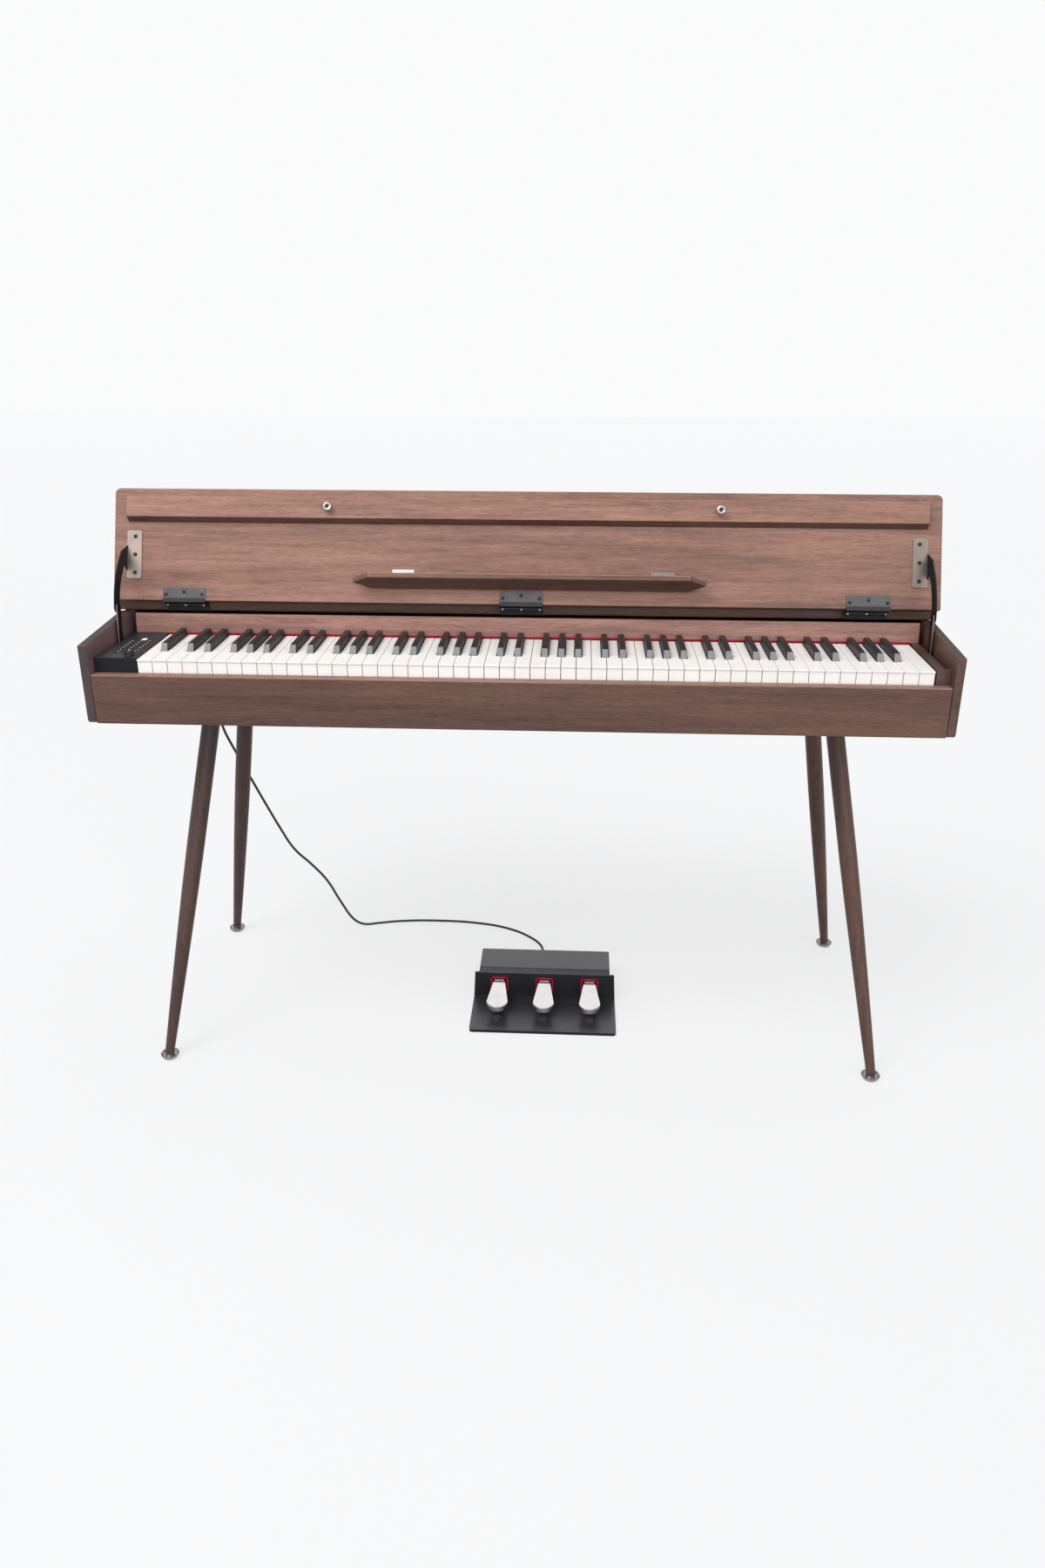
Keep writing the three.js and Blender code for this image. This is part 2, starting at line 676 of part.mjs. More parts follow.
function makeLid() {
  const shape = new THREE.Shape();
  const arcX = topHalf - lidCornerRadius;
  const arcZ = lidLength - lidCornerRadius;
  shape.moveTo(-topHalf, 0);
  shape.lineTo(topHalf, 0);
  shape.absarc(arcX, arcZ, lidCornerRadius, 0, Math.PI / 2, false);
  shape.absarc(-arcX, arcZ, lidCornerRadius, Math.PI / 2, Math.PI, false);
  piece('lid_panel', frontShape(shape, 0, lidThickness), walnutLight, lid);
}

// The strip lies on the lid, below its hinge line, with a bevel under its lower edge
function makeFlap() {
  const front = -gap - flapThickness;
  const top = flapHinge - gap;
  const foot = top - flapHeight;
  const half = innerHalf - flapEndGap;
  const outline = [[-gap, top], [-gap, foot + flapBevel], [-gap - flapBevel, foot],
    [front, foot], [front, top]];
  piece('lid_flap', sideProfile(outline, -half, half), walnutLight, lid);
  const profile = [[0, 0], [knobNeckRadius, 0], [knobNeckRadius, knobLength - knobHeadLength],
    [knobRadius, knobLength - knobHeadLength], [knobRadius, knobLength - volumeChamfer],
    [knobRadius - volumeChamfer, knobLength], [0, knobLength]];
  knobCentreShares.forEach((share, i) => {
    const geometry = turned(profile, fineSides);
    geometry.rotateX(Math.PI / 2);
    geometry.translate(cabinetWidth * share, front - gap, flapHinge - knobDrop);
    piece(`lid_knob_${sides[i][0]}`, toSolid(geometry), chrome, lid);
  });
}

// The ledge is drawn flat against the lid, then swung out about its lower back edge
function makeLedge() {
  const ledge = new THREE.Group();
  ledge.position.set(cabinetWidth * ledgeCentreShare, -gap, ledgeSeat);
  ledge.rotation.x = ledgeLift;
  lid.add(ledge);
  const half = cabinetWidth * ledgeWidthShare / 2;
  const tip = cabinetWidth * ledgeTipShare / 2;
  const outline = polygon([[-half, 0], [half, 0], [tip, ledgeDepth / 2], [half, ledgeDepth],
    [-half, ledgeDepth], [-tip, ledgeDepth / 2]]);
  piece('music_ledge', frontShape(outline, -ledgeThickness, 0), walnutLight, ledge);
}

// Outline of a flat bar of one width along a curve, with round ends
function bandOutline(curve, half, steps) {
  const left = [];
  const right = [];
  for (let i = 0; i <= steps; i += 1) {
    const point = curve.getPoint(i / steps);
    const way = curve.getTangent(i / steps);
    left.push([point.x - way.y * half, point.y + way.x * half]);
    right.unshift([point.x + way.y * half, point.y - way.x * half]);
  }
  const cap = (t, turn) => {
    const point = curve.getPoint(t);
    const way = curve.getTangent(t);
    const start = Math.atan2(way.y, way.x) + turn;
    return Array.from({ length: cornerSteps }, (_, i) => {
      const angle = start - Math.PI * (i + 1) / (cornerSteps + 1);
      return [point.x + half * Math.cos(angle), point.y + half * Math.sin(angle)];
    });
  };
  return [...left, ...cap(1, Math.PI / 2), ...right, ...cap(0, -Math.PI / 2)];
}

const stayHead = lidFoot.clone()
  .addScaledVector(lidUp, stayPivotRise)
  .addScaledVector(lidAhead, stayPivotReach);
const stayKnee = new THREE.Vector2(
  strutFoot.x + strutLength * Math.sin(strutLean), strutFoot.y + strutLength * Math.cos(strutLean));
function bracket(sign) {
  const outer = innerHalf - gap;
  const [x0, x1] = mirrored(sign, outer - bracketWidth, outer);
  const base = block([x0, x1], [-gap - bracketThickness, -gap],
    [bracketFoot, bracketFoot + bracketHeight]);
  const shape = new THREE.Shape();
  const low = stayPivotRise - flangeWidth / 2;
  const high = stayPivotRise + flangeWidth / 2;
  shape.moveTo(-gap, high);
  shape.lineTo(-stayPivotReach, stayPivotRise + flangeRadius);
  shape.absarc(-stayPivotReach, stayPivotRise, flangeRadius, Math.PI / 2, Math.PI * 3 / 2, false);
  shape.lineTo(-gap, low);
  const [f0, f1] = mirrored(sign, flangeX, outer);
  const bore = rodX(-stayPivotReach, stayPivotRise, f0 - overrun, f1 + overrun,
    stayPivotRadius + stayPivotClearance, smallSides);
  return base.add(sideShape(shape, f0, f1)).subtract(bore);
}

function arm(sign) {
  const chord = stayKnee.clone().sub(stayHead);
  const bulge = new THREE.Vector2(chord.y, -chord.x).normalize().multiplyScalar(armBulge);
  const middle = stayHead.clone().add(stayKnee).divideScalar(2).add(bulge);
  const curve = new THREE.QuadraticBezierCurve(stayHead, middle, stayKnee);
  const [x0, x1] = mirrored(sign, armX, armX + armThickness);
  const [p0, p1] = mirrored(sign, armX, innerHalf - gap);
  const pin = rodX(stayHead.x, stayHead.y, p0, p1, stayPivotRadius, smallSides);
  return sideProfile(bandOutline(curve, armWidth / 2, fineSides / 2), x0, x1).add(pin);
}

function strut(sign) {
  const [x0, x1] = mirrored(sign, strutX, strutX + strutThickness);
  const bar = sideProfile(bandOutline(new THREE.LineCurve(strutFoot, stayKnee), strutWidth / 2, 1), x0, x1);
  return bar.subtract(rodX(strutFoot.x, strutFoot.y, x0 - overrun, x1 + overrun,
    stayPivotRadius + stayPivotClearance, smallSides));
}

function makeStays() {
  for (const [side, sign] of sides) {
    piece(`stay_bracket_${side}`, bracket(sign), stayMetal, lid);
    piece(`stay_arm_${side}`, arm(sign), blackMetal);
    piece(`stay_strut_${side}`, strut(sign), blackMetal);
  }
}

// Tapered leg between its mounting plate and the level cut over the glide
function leg(head, foot) {
  const way = foot.clone().sub(head);
  const length = way.length();
  const profile = legRadii.map((radius, i) => new THREE.Vector2(radius, length * legLengthShares[i]));
  profile.unshift(new THREE.Vector2(0, 0));
  profile.push(new THREE.Vector2(0, length));
  const geometry = new THREE.LatheGeometry(profile, legSides);
  geometry.applyQuaternion(new THREE.Quaternion().setFromUnitVectors(axisY, way.normalize()));
  geometry.translate(head.x, head.y, head.z);
  const plateTop = undersideZ - gap;
  const plate = rodZ(head.x, head.y, plateTop - legPlateThickness, plateTop, legPlateRadius, fineSides);
  const reach = cabinetWidth;
  const clip = block([-reach, reach], [-reach, reach], [glideHeight + gap, plateTop]);
  return toSolid(geometry).add(plate).intersect(clip);
}

function makeLegs() {
  const rows = [
    ['front', keyFrontY + legHeadFront, legFootFrontInset, keyFrontY + legFootFront],
    ['rear', rearY - legHeadRear, legFootRearInset, legFootRear],
  ];
  const glide = [[0, 0], [glideRadius, 0], [glideRadius, glideRim], [glideNeckRadius, glideDomeHeight],
    [glideNeckRadius, glideHeight], [0, glideHeight]];
  const headZ = undersideZ - gap - legPlateThickness / 2;
  for (const [row, headY, footInset, footY] of rows) {
    for (const [side, sign] of sides) {
      const head = new THREE.Vector3(sign * (cabinetWidth / 2 - legHeadInset), headY, headZ);
      const foot = new THREE.Vector3(sign * (cabinetWidth / 2 - footInset), footY, glideHeight);
      piece(`leg_${row}_${side}`, leg(head, foot), walnut);
      const geometry = turned(glide, fineSides).translate(foot.x, foot.y, 0);
      piece(`foot_${row}_${side}`, toSolid(geometry), chrome);
    }
  }
}

const boxFrontY = keyFrontY + boxFront;
const boxRearY = boxFrontY + boxDepth;
const pedalAxisY = boxFrontY + pedalRear;
const pedalRestZ = pedalSlotHeight - pedalThickness;

function pedalBox() {
  const half = boxWidth / 2;
  const section = [
    [boxFrontY, 0], [boxRearY, 0], [boxRearY, boxHeight - boxEdge],
    [boxRearY - boxEdge, boxHeight], [boxFrontY + boxEdge, boxHeight], [boxFrontY, wallHeight],
  ];
  let body = sideProfile(section, pedalUnitX - half, pedalUnitX + half);
  const reach = plateWidth / 2;
  body = body.add(block([pedalUnitX - reach, pedalUnitX + reach],
    [boxFrontY, boxFrontY + boxWall], [0, wallHeight]));
  body = body.subtract(block([pedalUnitX - half + boxWall, pedalUnitX + half - boxWall],
    [boxFrontY + boxWall, boxRearY - boxWall], [plateThickness, boxHeight - boxEdge - boxWall]));
  for (const step of [-1, 0, 1]) {
    const x = pedalUnitX + step * pedalPitch;
    const halfSlot = pedalNeckWidth / 2 + pedalSlotSide;
    body = body.subtract(block([x - halfSlot, x + halfSlot], [boxFrontY - overrun,
      boxFrontY + boxWall + overrun], [pedalRestZ - pedalSlotBelow, pedalSlotHeight + pedalSlotAbove]));
  }
  const ridgeY = pedalAxisY - pedalRidgeDepth / 2;
  const rest = block([pedalUnitX - half + boxWall / 2, pedalUnitX + half - boxWall / 2],
    [ridgeY, ridgeY + pedalRidgeDepth], [plateThickness / 2, pedalRestZ - gap]);
  const gland = rod(new THREE.Vector3(glandX, boxRearY - overrun, glandHeight),
    new THREE.Vector3(glandX, boxRearY + glandLength, glandHeight), glandRadius, smallSides);
  return joined([body, basePlate(), rest, gland]);
}

function basePlate() {
  const half = plateWidth / 2;
  const front = keyFrontY + plateFront;
  const shape = new THREE.Shape();
  shape.moveTo(pedalUnitX + half, boxFrontY + boxWall);
  shape.lineTo(pedalUnitX - half, boxFrontY + boxWall);
  shape.absarc(pedalUnitX - half + plateCorner, front + plateCorner, plateCorner,
    Math.PI, Math.PI * 3 / 2, false);
  shape.absarc(pedalUnitX + half - plateCorner, front + plateCorner, plateCorner,
    -Math.PI / 2, 0, false);
  return planShape(shape, 0, plateThickness);
}

// Pedal: level arm inside the box, sloping blade outside with a wide round tip
function pedal(x) {
  const tipY = boxFrontY - pedalReach;
  const rear = pedalAxisY + pedalRidgeDepth / 2;
  const side = [[rear, pedalRestZ], [boxFrontY, pedalRestZ], [tipY, pedalTipHeight - pedalThickness],
    [tipY, pedalTipHeight], [boxFrontY, pedalSlotHeight], [rear, pedalSlotHeight]];
  const neck = pedalNeckWidth / 2;
  const wide = pedalTipWidth / 2;
  const blade = sideProfile(side, x - wide, x + wide);
  const shape = new THREE.Shape();
  shape.moveTo(x + neck, rear);
  shape.lineTo(x - neck, rear);
  shape.lineTo(x - neck, boxFrontY - pedalNeckLength);
  shape.lineTo(x - wide, tipY + wide);
  shape.absarc(x, tipY + wide, wide, Math.PI, Math.PI * 2, false);
  shape.lineTo(x + neck, boxFrontY - pedalNeckLength);
  return blade.intersect(planShape(shape, 0, boxHeight));
}

function makePedals() {
  piece('pedal_box', pedalBox(), charcoal);
  const names = ['left', 'middle', 'right'];
  names.forEach((name, i) => {
    piece(`pedal_${name}`, pedal(pedalUnitX + (i - 1) * pedalPitch), chrome);
  });
}

// Cable from the gland on the pedal box to the plug under the cabinet
function makeCable() {
  const start = boxRearY + glandLength + gap;
  const plugTop = undersideZ - gap;
  const plugFoot = plugTop - plugLength;
  const cableEnd = plugFoot - gap;
  const floor = cableRadius + cableFloorGap;
  const loopY = legFootRear + cableLoopSetback;
  const points = [
    new THREE.Vector3(glandX, start, glandHeight),
    ...cableFloorShares.map(([x, y, z]) => new THREE.Vector3(
      lerp(glandX, plugX, x), lerp(start, loopY, y), lerp(floor, glandHeight, z))),
    ...cableRiseShares.map(([x, y, z]) => new THREE.Vector3(
      lerp(glandX, plugX, x), lerp(loopY, plugY, y), lerp(floor, cableEnd, z))),
    new THREE.Vector3(plugX, plugY, cableEnd),
  ];
  const ring = [];
  for (let i = 0; i < cableSides; i += 1) {
    const angle = Math.PI * 2 * i / cableSides;
    ring.push([cableRadius * Math.cos(angle), cableRadius * Math.sin(angle)]);
  }
  const extrudePath = new THREE.CatmullRomCurve3(points);
  const geometry = new THREE.ExtrudeGeometry(polygon(ring), { steps: cableSteps, extrudePath });
  piece('pedal_cable', toSolid(geometry), rubber);
  const body = rodZ(plugX, plugY, plugFoot, plugTop, plugRadius, smallSides);
  const pin = rodZ(plugX, plugY, plugTop - overrun, undersideZ + plugPinLength, plugPinRadius, smallSides);
  piece('cable_plug', body.add(pin), rubber);
}

makePanels();
makeBoards();
makeFascia();
makeKeyBed();
makeControls();
makeRightBlock();
makeKeys();
makeHinges();
makeLid();
makeFlap();
makeLedge();
makeStays();
makeLegs();
makePedals();
makeCable();

export default piano;
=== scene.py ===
import json
import math

import bmesh
import bpy
from bpy.props import FloatProperty, FloatVectorProperty, PointerProperty
from mathutils import Matrix, Vector
from mathutils.geometry import interpolate_bezier

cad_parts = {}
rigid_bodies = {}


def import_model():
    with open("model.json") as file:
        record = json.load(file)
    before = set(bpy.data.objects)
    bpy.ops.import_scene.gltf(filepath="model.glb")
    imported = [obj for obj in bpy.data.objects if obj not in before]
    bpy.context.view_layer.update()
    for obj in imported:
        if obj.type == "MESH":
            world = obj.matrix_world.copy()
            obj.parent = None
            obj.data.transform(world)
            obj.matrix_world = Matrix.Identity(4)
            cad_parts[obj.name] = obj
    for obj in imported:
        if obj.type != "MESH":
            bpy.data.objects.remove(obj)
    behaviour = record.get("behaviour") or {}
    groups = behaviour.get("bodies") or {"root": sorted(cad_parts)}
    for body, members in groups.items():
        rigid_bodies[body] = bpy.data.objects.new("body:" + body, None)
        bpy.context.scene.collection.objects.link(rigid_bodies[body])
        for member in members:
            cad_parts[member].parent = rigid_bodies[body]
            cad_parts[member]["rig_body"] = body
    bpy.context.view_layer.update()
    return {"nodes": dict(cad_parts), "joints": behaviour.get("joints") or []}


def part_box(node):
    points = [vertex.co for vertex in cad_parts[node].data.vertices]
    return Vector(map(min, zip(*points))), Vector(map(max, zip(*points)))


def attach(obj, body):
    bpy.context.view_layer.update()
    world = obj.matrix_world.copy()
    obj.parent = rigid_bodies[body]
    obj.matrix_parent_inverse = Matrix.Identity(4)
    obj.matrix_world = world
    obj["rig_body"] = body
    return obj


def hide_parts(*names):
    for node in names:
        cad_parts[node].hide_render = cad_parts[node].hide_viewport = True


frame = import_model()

bl_info = {
    "name": "Digital Piano with a Folding Lid",
    "version": (1, 0, 0),
    "blender": (4, 5, 0),
    "location": "View3D > Sidebar > Piano",
    "description": "Builds the walnut digital piano, its keys, stays, legs and pedals around the solid model",
    "category": "Object",
}

MM = 0.001
SIDES = (("left", -1), ("right", 1))
FRONT = Vector((0, -1, 0))
UP = Vector((0, 0, 1))

# Lid frame, from its hinge line: x along the piano, y out of the back, z up the lid
LID_LEAN = math.radians(21.7)
LID_EDGE = 4.84
LID_FACE = 9.46
HINGE = Vector(next(joint["pos_m"] for joint in frame["joints"] if joint["name"] == "lid_hinge"))
LID_UP = Vector((0.0, math.sin(LID_LEAN), math.cos(LID_LEAN)))
LID_BACK = Vector((0.0, math.cos(LID_LEAN), -math.sin(LID_LEAN)))
LID_OUT = -LID_BACK
LID_PLACE = (
    Matrix.Translation(HINGE + (LID_UP * LID_EDGE - LID_BACK * LID_FACE) * MM)
    @ Matrix.Rotation(-LID_LEAN, 4, "X")
)

# Levels shared by the pieces, in millimetres
KEY_FRONT = -226
KEY_TOP = 738
PANEL_TOP = 740

# How the veneer's grain is stretched on pieces along each axis
ALONG_X, ALONG_Y, ALONG_Z = (1.0, 16.0, 16.0), (16.0, 1.0, 16.0), (16.0, 16.0, 1.0)


# Settings


def colour_setting(name, description, default):
    return FloatVectorProperty(
        name=name, description=description, subtype="COLOR", size=3, min=0, max=1, default=default)


def radius_setting(name, rounded, millimetres):
    return FloatProperty(
        name=name, description=f"Radius on the edges of {rounded}",
        subtype="DISTANCE", unit="LENGTH", default=millimetres * MM)


class WoodSettings(bpy.types.PropertyGroup):
    """Colours and grain of the walnut veneer"""

    light: colour_setting("Light grain", "Paler lines of the veneer", (0.320, 0.166, 0.122))
    dark: colour_setting("Dark grain", "Darker lines of the veneer", (0.140, 0.066, 0.048))
    pore: colour_setting("Pores", "Fine dark pores along the grain", (0.080, 0.042, 0.034))


class EdgeSettings(bpy.types.PropertyGroup):
    """Rounded edges"""

    board: radius_setting("End panels", "the cabinet's end panels", 1.4)
    lid: radius_setting("Lid", "the lid", 2.2)
    white_key: radius_setting("White keys", "the white keys", 0.6)
    black_key: radius_setting("Black keys", "the black keys", 0.9)
    metal: radius_setting("Pressed metal", "lower leaves and struts", 0.3)


class FinishSettings(bpy.types.PropertyGroup):
    """Colours of the keys, felt and metal"""

    ivory: colour_setting("White keys", "Colour of the white keys", (0.930, 0.915, 0.885))
    ebony: colour_setting("Black keys", "Colour of the black keys", (0.014, 0.012, 0.013))
    felt: colour_setting("Felt", "Colour of the felt behind the keys", (0.520, 0.010, 0.042))
    housing: colour_setting("Pedal housing", "Colour of the pedal unit's housing", (0.024, 0.024, 0.027))
    stay: colour_setting("Stay plates", "Colour of the plates that hold the stays", (0.290, 0.235, 0.200))


class PianoSettings(bpy.types.PropertyGroup):
    """All the sizes and colours of the piano"""

    wood: PointerProperty(type=WoodSettings)
    edges: PointerProperty(type=EdgeSettings)
    finish: PointerProperty(type=FinishSettings)


def settings():
    return bpy.context.scene.piano


# Shader maths


class Value:
    """A node's output that can be used in Python sums"""

    def __init__(self, shade, socket):
        self.shade = shade
        self.socket = socket

    def _math(self, operation, *values):
        return self.shade.node(
            "ShaderNodeMath", {"operation": operation}, dict(enumerate(values)))

    def __add__(self, other):
        return self._math("ADD", self, other)

    def __sub__(self, other):
        return self._math("SUBTRACT", self, other)

    def __mul__(self, other):
        return self._math("MULTIPLY", self, other)

    __radd__ = __add__
    __rmul__ = __mul__

    def clamped(self):
        return self._math("MINIMUM", self._math("MAXIMUM", self, 0.0), 1.0)


class Shade:
    """A material's node tree, ending in one Principled shader"""

    def __init__(self, name, **sockets):
        self.material = bpy.data.materials.new(name)
        self.material.use_nodes = True
        self.tree = self.material.node_tree
        self.shader = self.tree.nodes["Principled BSDF"]
        self.put(**sockets)

    def put(self, **sockets):
        for socket, value in sockets.items():
            self._fill(self.shader.inputs[socket.replace("_", " ")], value)

    def _fill(self, socket, value):
        if isinstance(value, Value):
            self.tree.links.new(value.socket, socket)
        elif hasattr(value, "__len__") and socket.type == "RGBA":
            socket.default_value = (*tuple(value)[:3], 1.0)
        else:
            socket.default_value = value

    def node(self, kind, node_settings=None, inputs=None, output=0):
        made = self.tree.nodes.new(kind)
        for key, value in (node_settings or {}).items():
            setattr(made, key, value)
        for key, value in (inputs or {}).items():
            self._fill(made.inputs[key], value)
        return Value(self, made.outputs[output])

    def place(self, scale=(1, 1, 1), turn=(0, 0, 0)):
        spot = self.node("ShaderNodeTexCoord", output="Object")
        return self.node("ShaderNodeMapping", {"vector_type": "POINT"},
                         {"Vector": spot, "Scale": scale, "Rotation": turn})

    def noise(self, vector, scale, detail=3.0, roughness=0.55, distortion=0.0):
        return self.node("ShaderNodeTexNoise", {}, {
            "Vector": vector, "Scale": scale, "Detail": detail,
            "Roughness": roughness, "Distortion": distortion}, "Fac")

    def spread(self, value, low, high):
        return self.node("ShaderNodeMapRange", {"clamp": True}, {
            "Value": value, "From Min": low, "From Max": high})

    def ramp(self, value, stops):
        faded = self.node("ShaderNodeValToRGB", {}, {"Fac": value}, "Color")
        elements = faded.socket.node.color_ramp.elements
        while len(elements) < len(stops):
            elements.new(0.5)
        for element, (position, colour) in zip(elements, stops):
            element.position = position
            element.color = (*colour, 1.0)
        return faded

    def mix(self, share, first, second):
        return self.node("ShaderNodeMix", {"data_type": "RGBA"},
                         {0: share, 6: first, 7: second}, 2)

    def bumped(self, height, depth, strength):
        """The finished material, with bumps of a depth in millimetres"""
        self.put(Normal=self.node("ShaderNodeBump", {}, {
            "Height": height, "Distance": depth * MM, "Strength": strength}))
        return self.material


# Materials


def walnut(name, tone=1.0, grain=ALONG_X, turn=(0, 0, 0), coat=0.10, cool=0.0):
    """Walnut veneer: soft bands and fine streaks along the grain, and short dark pores"""
    wood = settings().wood
    shade = Shade(name, Specular_IOR_Level=0.30, Coat_Roughness=0.26)
    bands = shade.noise(shade.place(grain, turn), 1.4, 3.0, 0.5)
    streaks = shade.noise(shade.place([4.0 * g for g in grain], turn), 1.9, 5.0, 0.65)
    where = shade.place([22.0 * g for g in grain], turn)
    flecks = shade.noise(where, 2.0, 4.0, 0.7)
    pores = shade.spread(shade.noise(where, 3.6, 3.0, 0.6), 0.54, 0.68)
    figure = bands * 0.34 + streaks * 0.34 + flecks * 0.32
    blend = (0.5 + (figure - 0.5) * 5.4).clamped()
    light, dark, pore = (
        [tone * (c + (g - c) * cool) for c, g in zip(colour, (0.16, 0.12, 0.15))]
        for colour in (wood.light, wood.dark, wood.pore))
    middle = [0.5 * (a + b) for a, b in zip(light, dark)]
    base = shade.ramp(blend, [(0.0, dark), (0.5, middle), (1.0, light)])
    shade.put(Base_Color=shade.mix(pores * 0.5, base, pore))
    shade.put(Roughness=0.40 + streaks * 0.16 + pores * 0.12)
    shade.put(Coat_Weight=coat + pores * (-0.7 * coat))
    return shade.bumped(flecks * 0.6 - pores * 0.5, 0.25, 0.3)


def ivory(name):
    """Moulded white key tops with a soft shine"""
    shade = Shade(name, IOR=1.46, Coat_Roughness=0.2)
    where = shade.place()
    haze = shade.noise(where, 14.0, 2.0)
    speck = shade.noise(where, 900.0, 2.0)
    colour = settings().finish.ivory
    worn = [0.94 * c for c in colour]
    shade.put(Base_Color=shade.mix(shade.spread(haze, 0.4, 0.75), colour, worn))
    shade.put(Roughness=0.30 + haze * 0.10)
    shade.put(Coat_Weight=0.15 + speck * 0.05)
    return shade.bumped(speck, 0.03, 0.15)


def ebony(name):
    """Satin black keys; their sloping fronts are painted paler as a reflection of the light above"""
    shade = Shade(name, IOR=1.5, Specular_IOR_Level=0.36)
    grain = shade.noise(shade.place((40.0, 2.0, 40.0)), 22.0, 4.0, 0.7)
    direction = shade.node("ShaderNodeTexCoord", output="Normal")
    split = shade.node("ShaderNodeSeparateXYZ", {}, {"Vector": direction}, "Y")
    front = shade.spread(split * -1.0, 0.55, 0.80)
    colour = settings().finish.ebony
    # Painted reflection: faces sloping forward are mixed toward pale grey where the light above would shine
    # in them
    rubbed = front * (0.75 + shade.noise(shade.place(), 60.0, 3.0) * 0.35)
    body = shade.mix(shade.spread(grain, 0.4, 0.7), colour, [2.1 * c for c in colour])
    shade.put(Base_Color=shade.mix(rubbed.clamped(), body, (0.205, 0.200, 0.205)))
    shade.put(Roughness=0.36 + grain * 0.16)
    return shade.bumped(grain, 0.05, 0.25)


def painted_metal(name, colour, rough=0.42, metal=0.0, gloss=0.35):
    """Powder-painted steel with a fine orange peel"""
    shade = Shade(name, Metallic=metal, Specular_IOR_Level=gloss)
    where = shade.place()
    peel = shade.noise(where, 1400.0, 2.0)
    smear = shade.noise(where, 45.0, 4.0)
    worn = [min(1.0, 1.5 * c + 0.01) for c in colour]
    shade.put(Base_Color=shade.mix(shade.spread(smear, 0.5, 0.85), colour, worn))
    shade.put(Roughness=rough + smear * 0.14)
    return shade.bumped(peel, 0.05, 0.3)


def brushed_metal(name, colour, rough=0.34):
    """Pressed plate with brush marks along it"""
    shade = Shade(name, Metallic=0.85)
    marks = shade.noise(shade.place((60.0, 3.0, 3.0)), 40.0, 4.0, 0.7)
    smear = shade.noise(shade.place(), 30.0, 3.0)
    worn = [0.72 * c for c in colour]
    shade.put(Base_Color=shade.mix(shade.spread(smear, 0.35, 0.8), colour, worn))
    shade.put(Roughness=rough + marks * 0.14)
    return shade.bumped(marks, 0.02, 0.25)


def polished_chrome(name):
    """Chrome plate with faint smears"""
    shade = Shade(name, Metallic=1.0)
    smear = shade.noise(shade.place(), 55.0, 4.0, 0.6)
    shade.put(Base_Color=shade.mix(
        shade.spread(smear, 0.3, 0.9), (0.90, 0.88, 0.86), (0.76, 0.74, 0.73)))
    shade.put(Roughness=0.10 + shade.spread(smear, 0.4, 0.9) * 0.14)
    return shade.bumped(smear, 0.02, 0.1)


def moulded_plastic(name, colour, rough=0.5, texture=900.0, gloss=0.5):
    """Moulded plastic with a fine spark-eroded surface"""
    shade = Shade(name, IOR=1.5, Specular_IOR_Level=gloss)
    where = shade.place()
    spark = shade.noise(where, texture, 3.0, 0.6)
    cloud = shade.noise(where, 12.0, 3.0)
    pale = [min(1.0, 1.55 * c + 0.004) for c in colour]
    shade.put(Base_Color=shade.mix(shade.spread(cloud, 0.3, 0.8) * 0.5, colour, pale))
    shade.put(Roughness=rough + spark * 0.18)
    return shade.bumped(spark, 0.08, 0.4)


def felt_cloth(name):
    """Pressed wool felt with short fibres"""
    shade = Shade(name, IOR=1.4)
    where = shade.place()
    fibre = shade.noise(where, 1300.0, 5.0, 0.75, 0.8)
    tuft = shade.noise(where, 260.0, 3.0)
    colour = settings().finish.felt
    deep = [0.45 * c for c in colour]
    shade.put(Base_Color=shade.mix(shade.spread(fibre, 0.3, 0.75), deep, colour))
    shade.put(Roughness=0.86 + tuft * 0.12)
    return shade.bumped(fibre, 0.4, 0.6)


def lit_window(name):
    """Small lit display"""
    shade = Shade(name, Base_Color=(0.75, 0.76, 0.78), Emission_Strength=0.35)
    rows = shade.noise(shade.place(), 420.0, 1.0)
    glow = shade.mix(shade.spread(rows, 0.45, 0.6), (0.95, 0.96, 1.0), (0.72, 0.74, 0.80))
    shade.put(Emission_Color=glow)
    shade.put(Roughness=0.15 + rows * 0.05)
    return shade.material


# Maker, colour, roughness, then metal and gloss of a painted metal or texture and gloss of a plastic
FINISHES = {
    "chrome_plate": (polished_chrome,),
    # Darker chrome painted as shade on the pedals' rims and at their slots
    "chrome_rim": (brushed_metal, (0.27, 0.26, 0.27), 0.20),
    "glide_chrome": (brushed_metal, (0.34, 0.33, 0.32), 0.14),
    "nickel_plate": (brushed_metal, (0.62, 0.57, 0.52), 0.16),
    # The ledge plates are one metal, painted silver on the lit left and dark grey on the shaded right
    "ledge_plate_silver": (brushed_metal, (0.55, 0.54, 0.53)),
    "ledge_plate_grey": (brushed_metal, (0.16, 0.15, 0.15)),
    "black_painted_steel": (painted_metal, (0.010, 0.010, 0.012)),
    "stay_black_steel": (painted_metal, (0.005, 0.005, 0.008), 0.50, 0.0, 0.18),
    "grey_painted_steel": (painted_metal, (0.066, 0.062, 0.064), 0.40, 0.2, 0.5),
    # A darker, matt copy of the housing plastic, painted on front faces as shade
    "matt_black_plastic": (moulded_plastic, (0.0085, 0.0085, 0.0125), 0.62, 900.0, 0.22),
    "control_panel_plastic": (moulded_plastic, (0.014, 0.014, 0.019), 0.34, 900.0, 0.8),
    "black_rubber": (moulded_plastic, (0.018, 0.018, 0.019), 0.7, 1500.0),
    "cable_jacket": (moulded_plastic, (0.020, 0.020, 0.021), 0.55, 2200.0),
    # Pale print on the volume knob, and painted highlights by the buttons
    "pale_marks": (moulded_plastic, (0.75, 0.75, 0.76)),
    "red_felt": (felt_cloth,),
    "ivory_keys": (ivory,),
    "ebony_keys": (ebony,),
    "display_glow": (lit_window,),
}

_made = {}


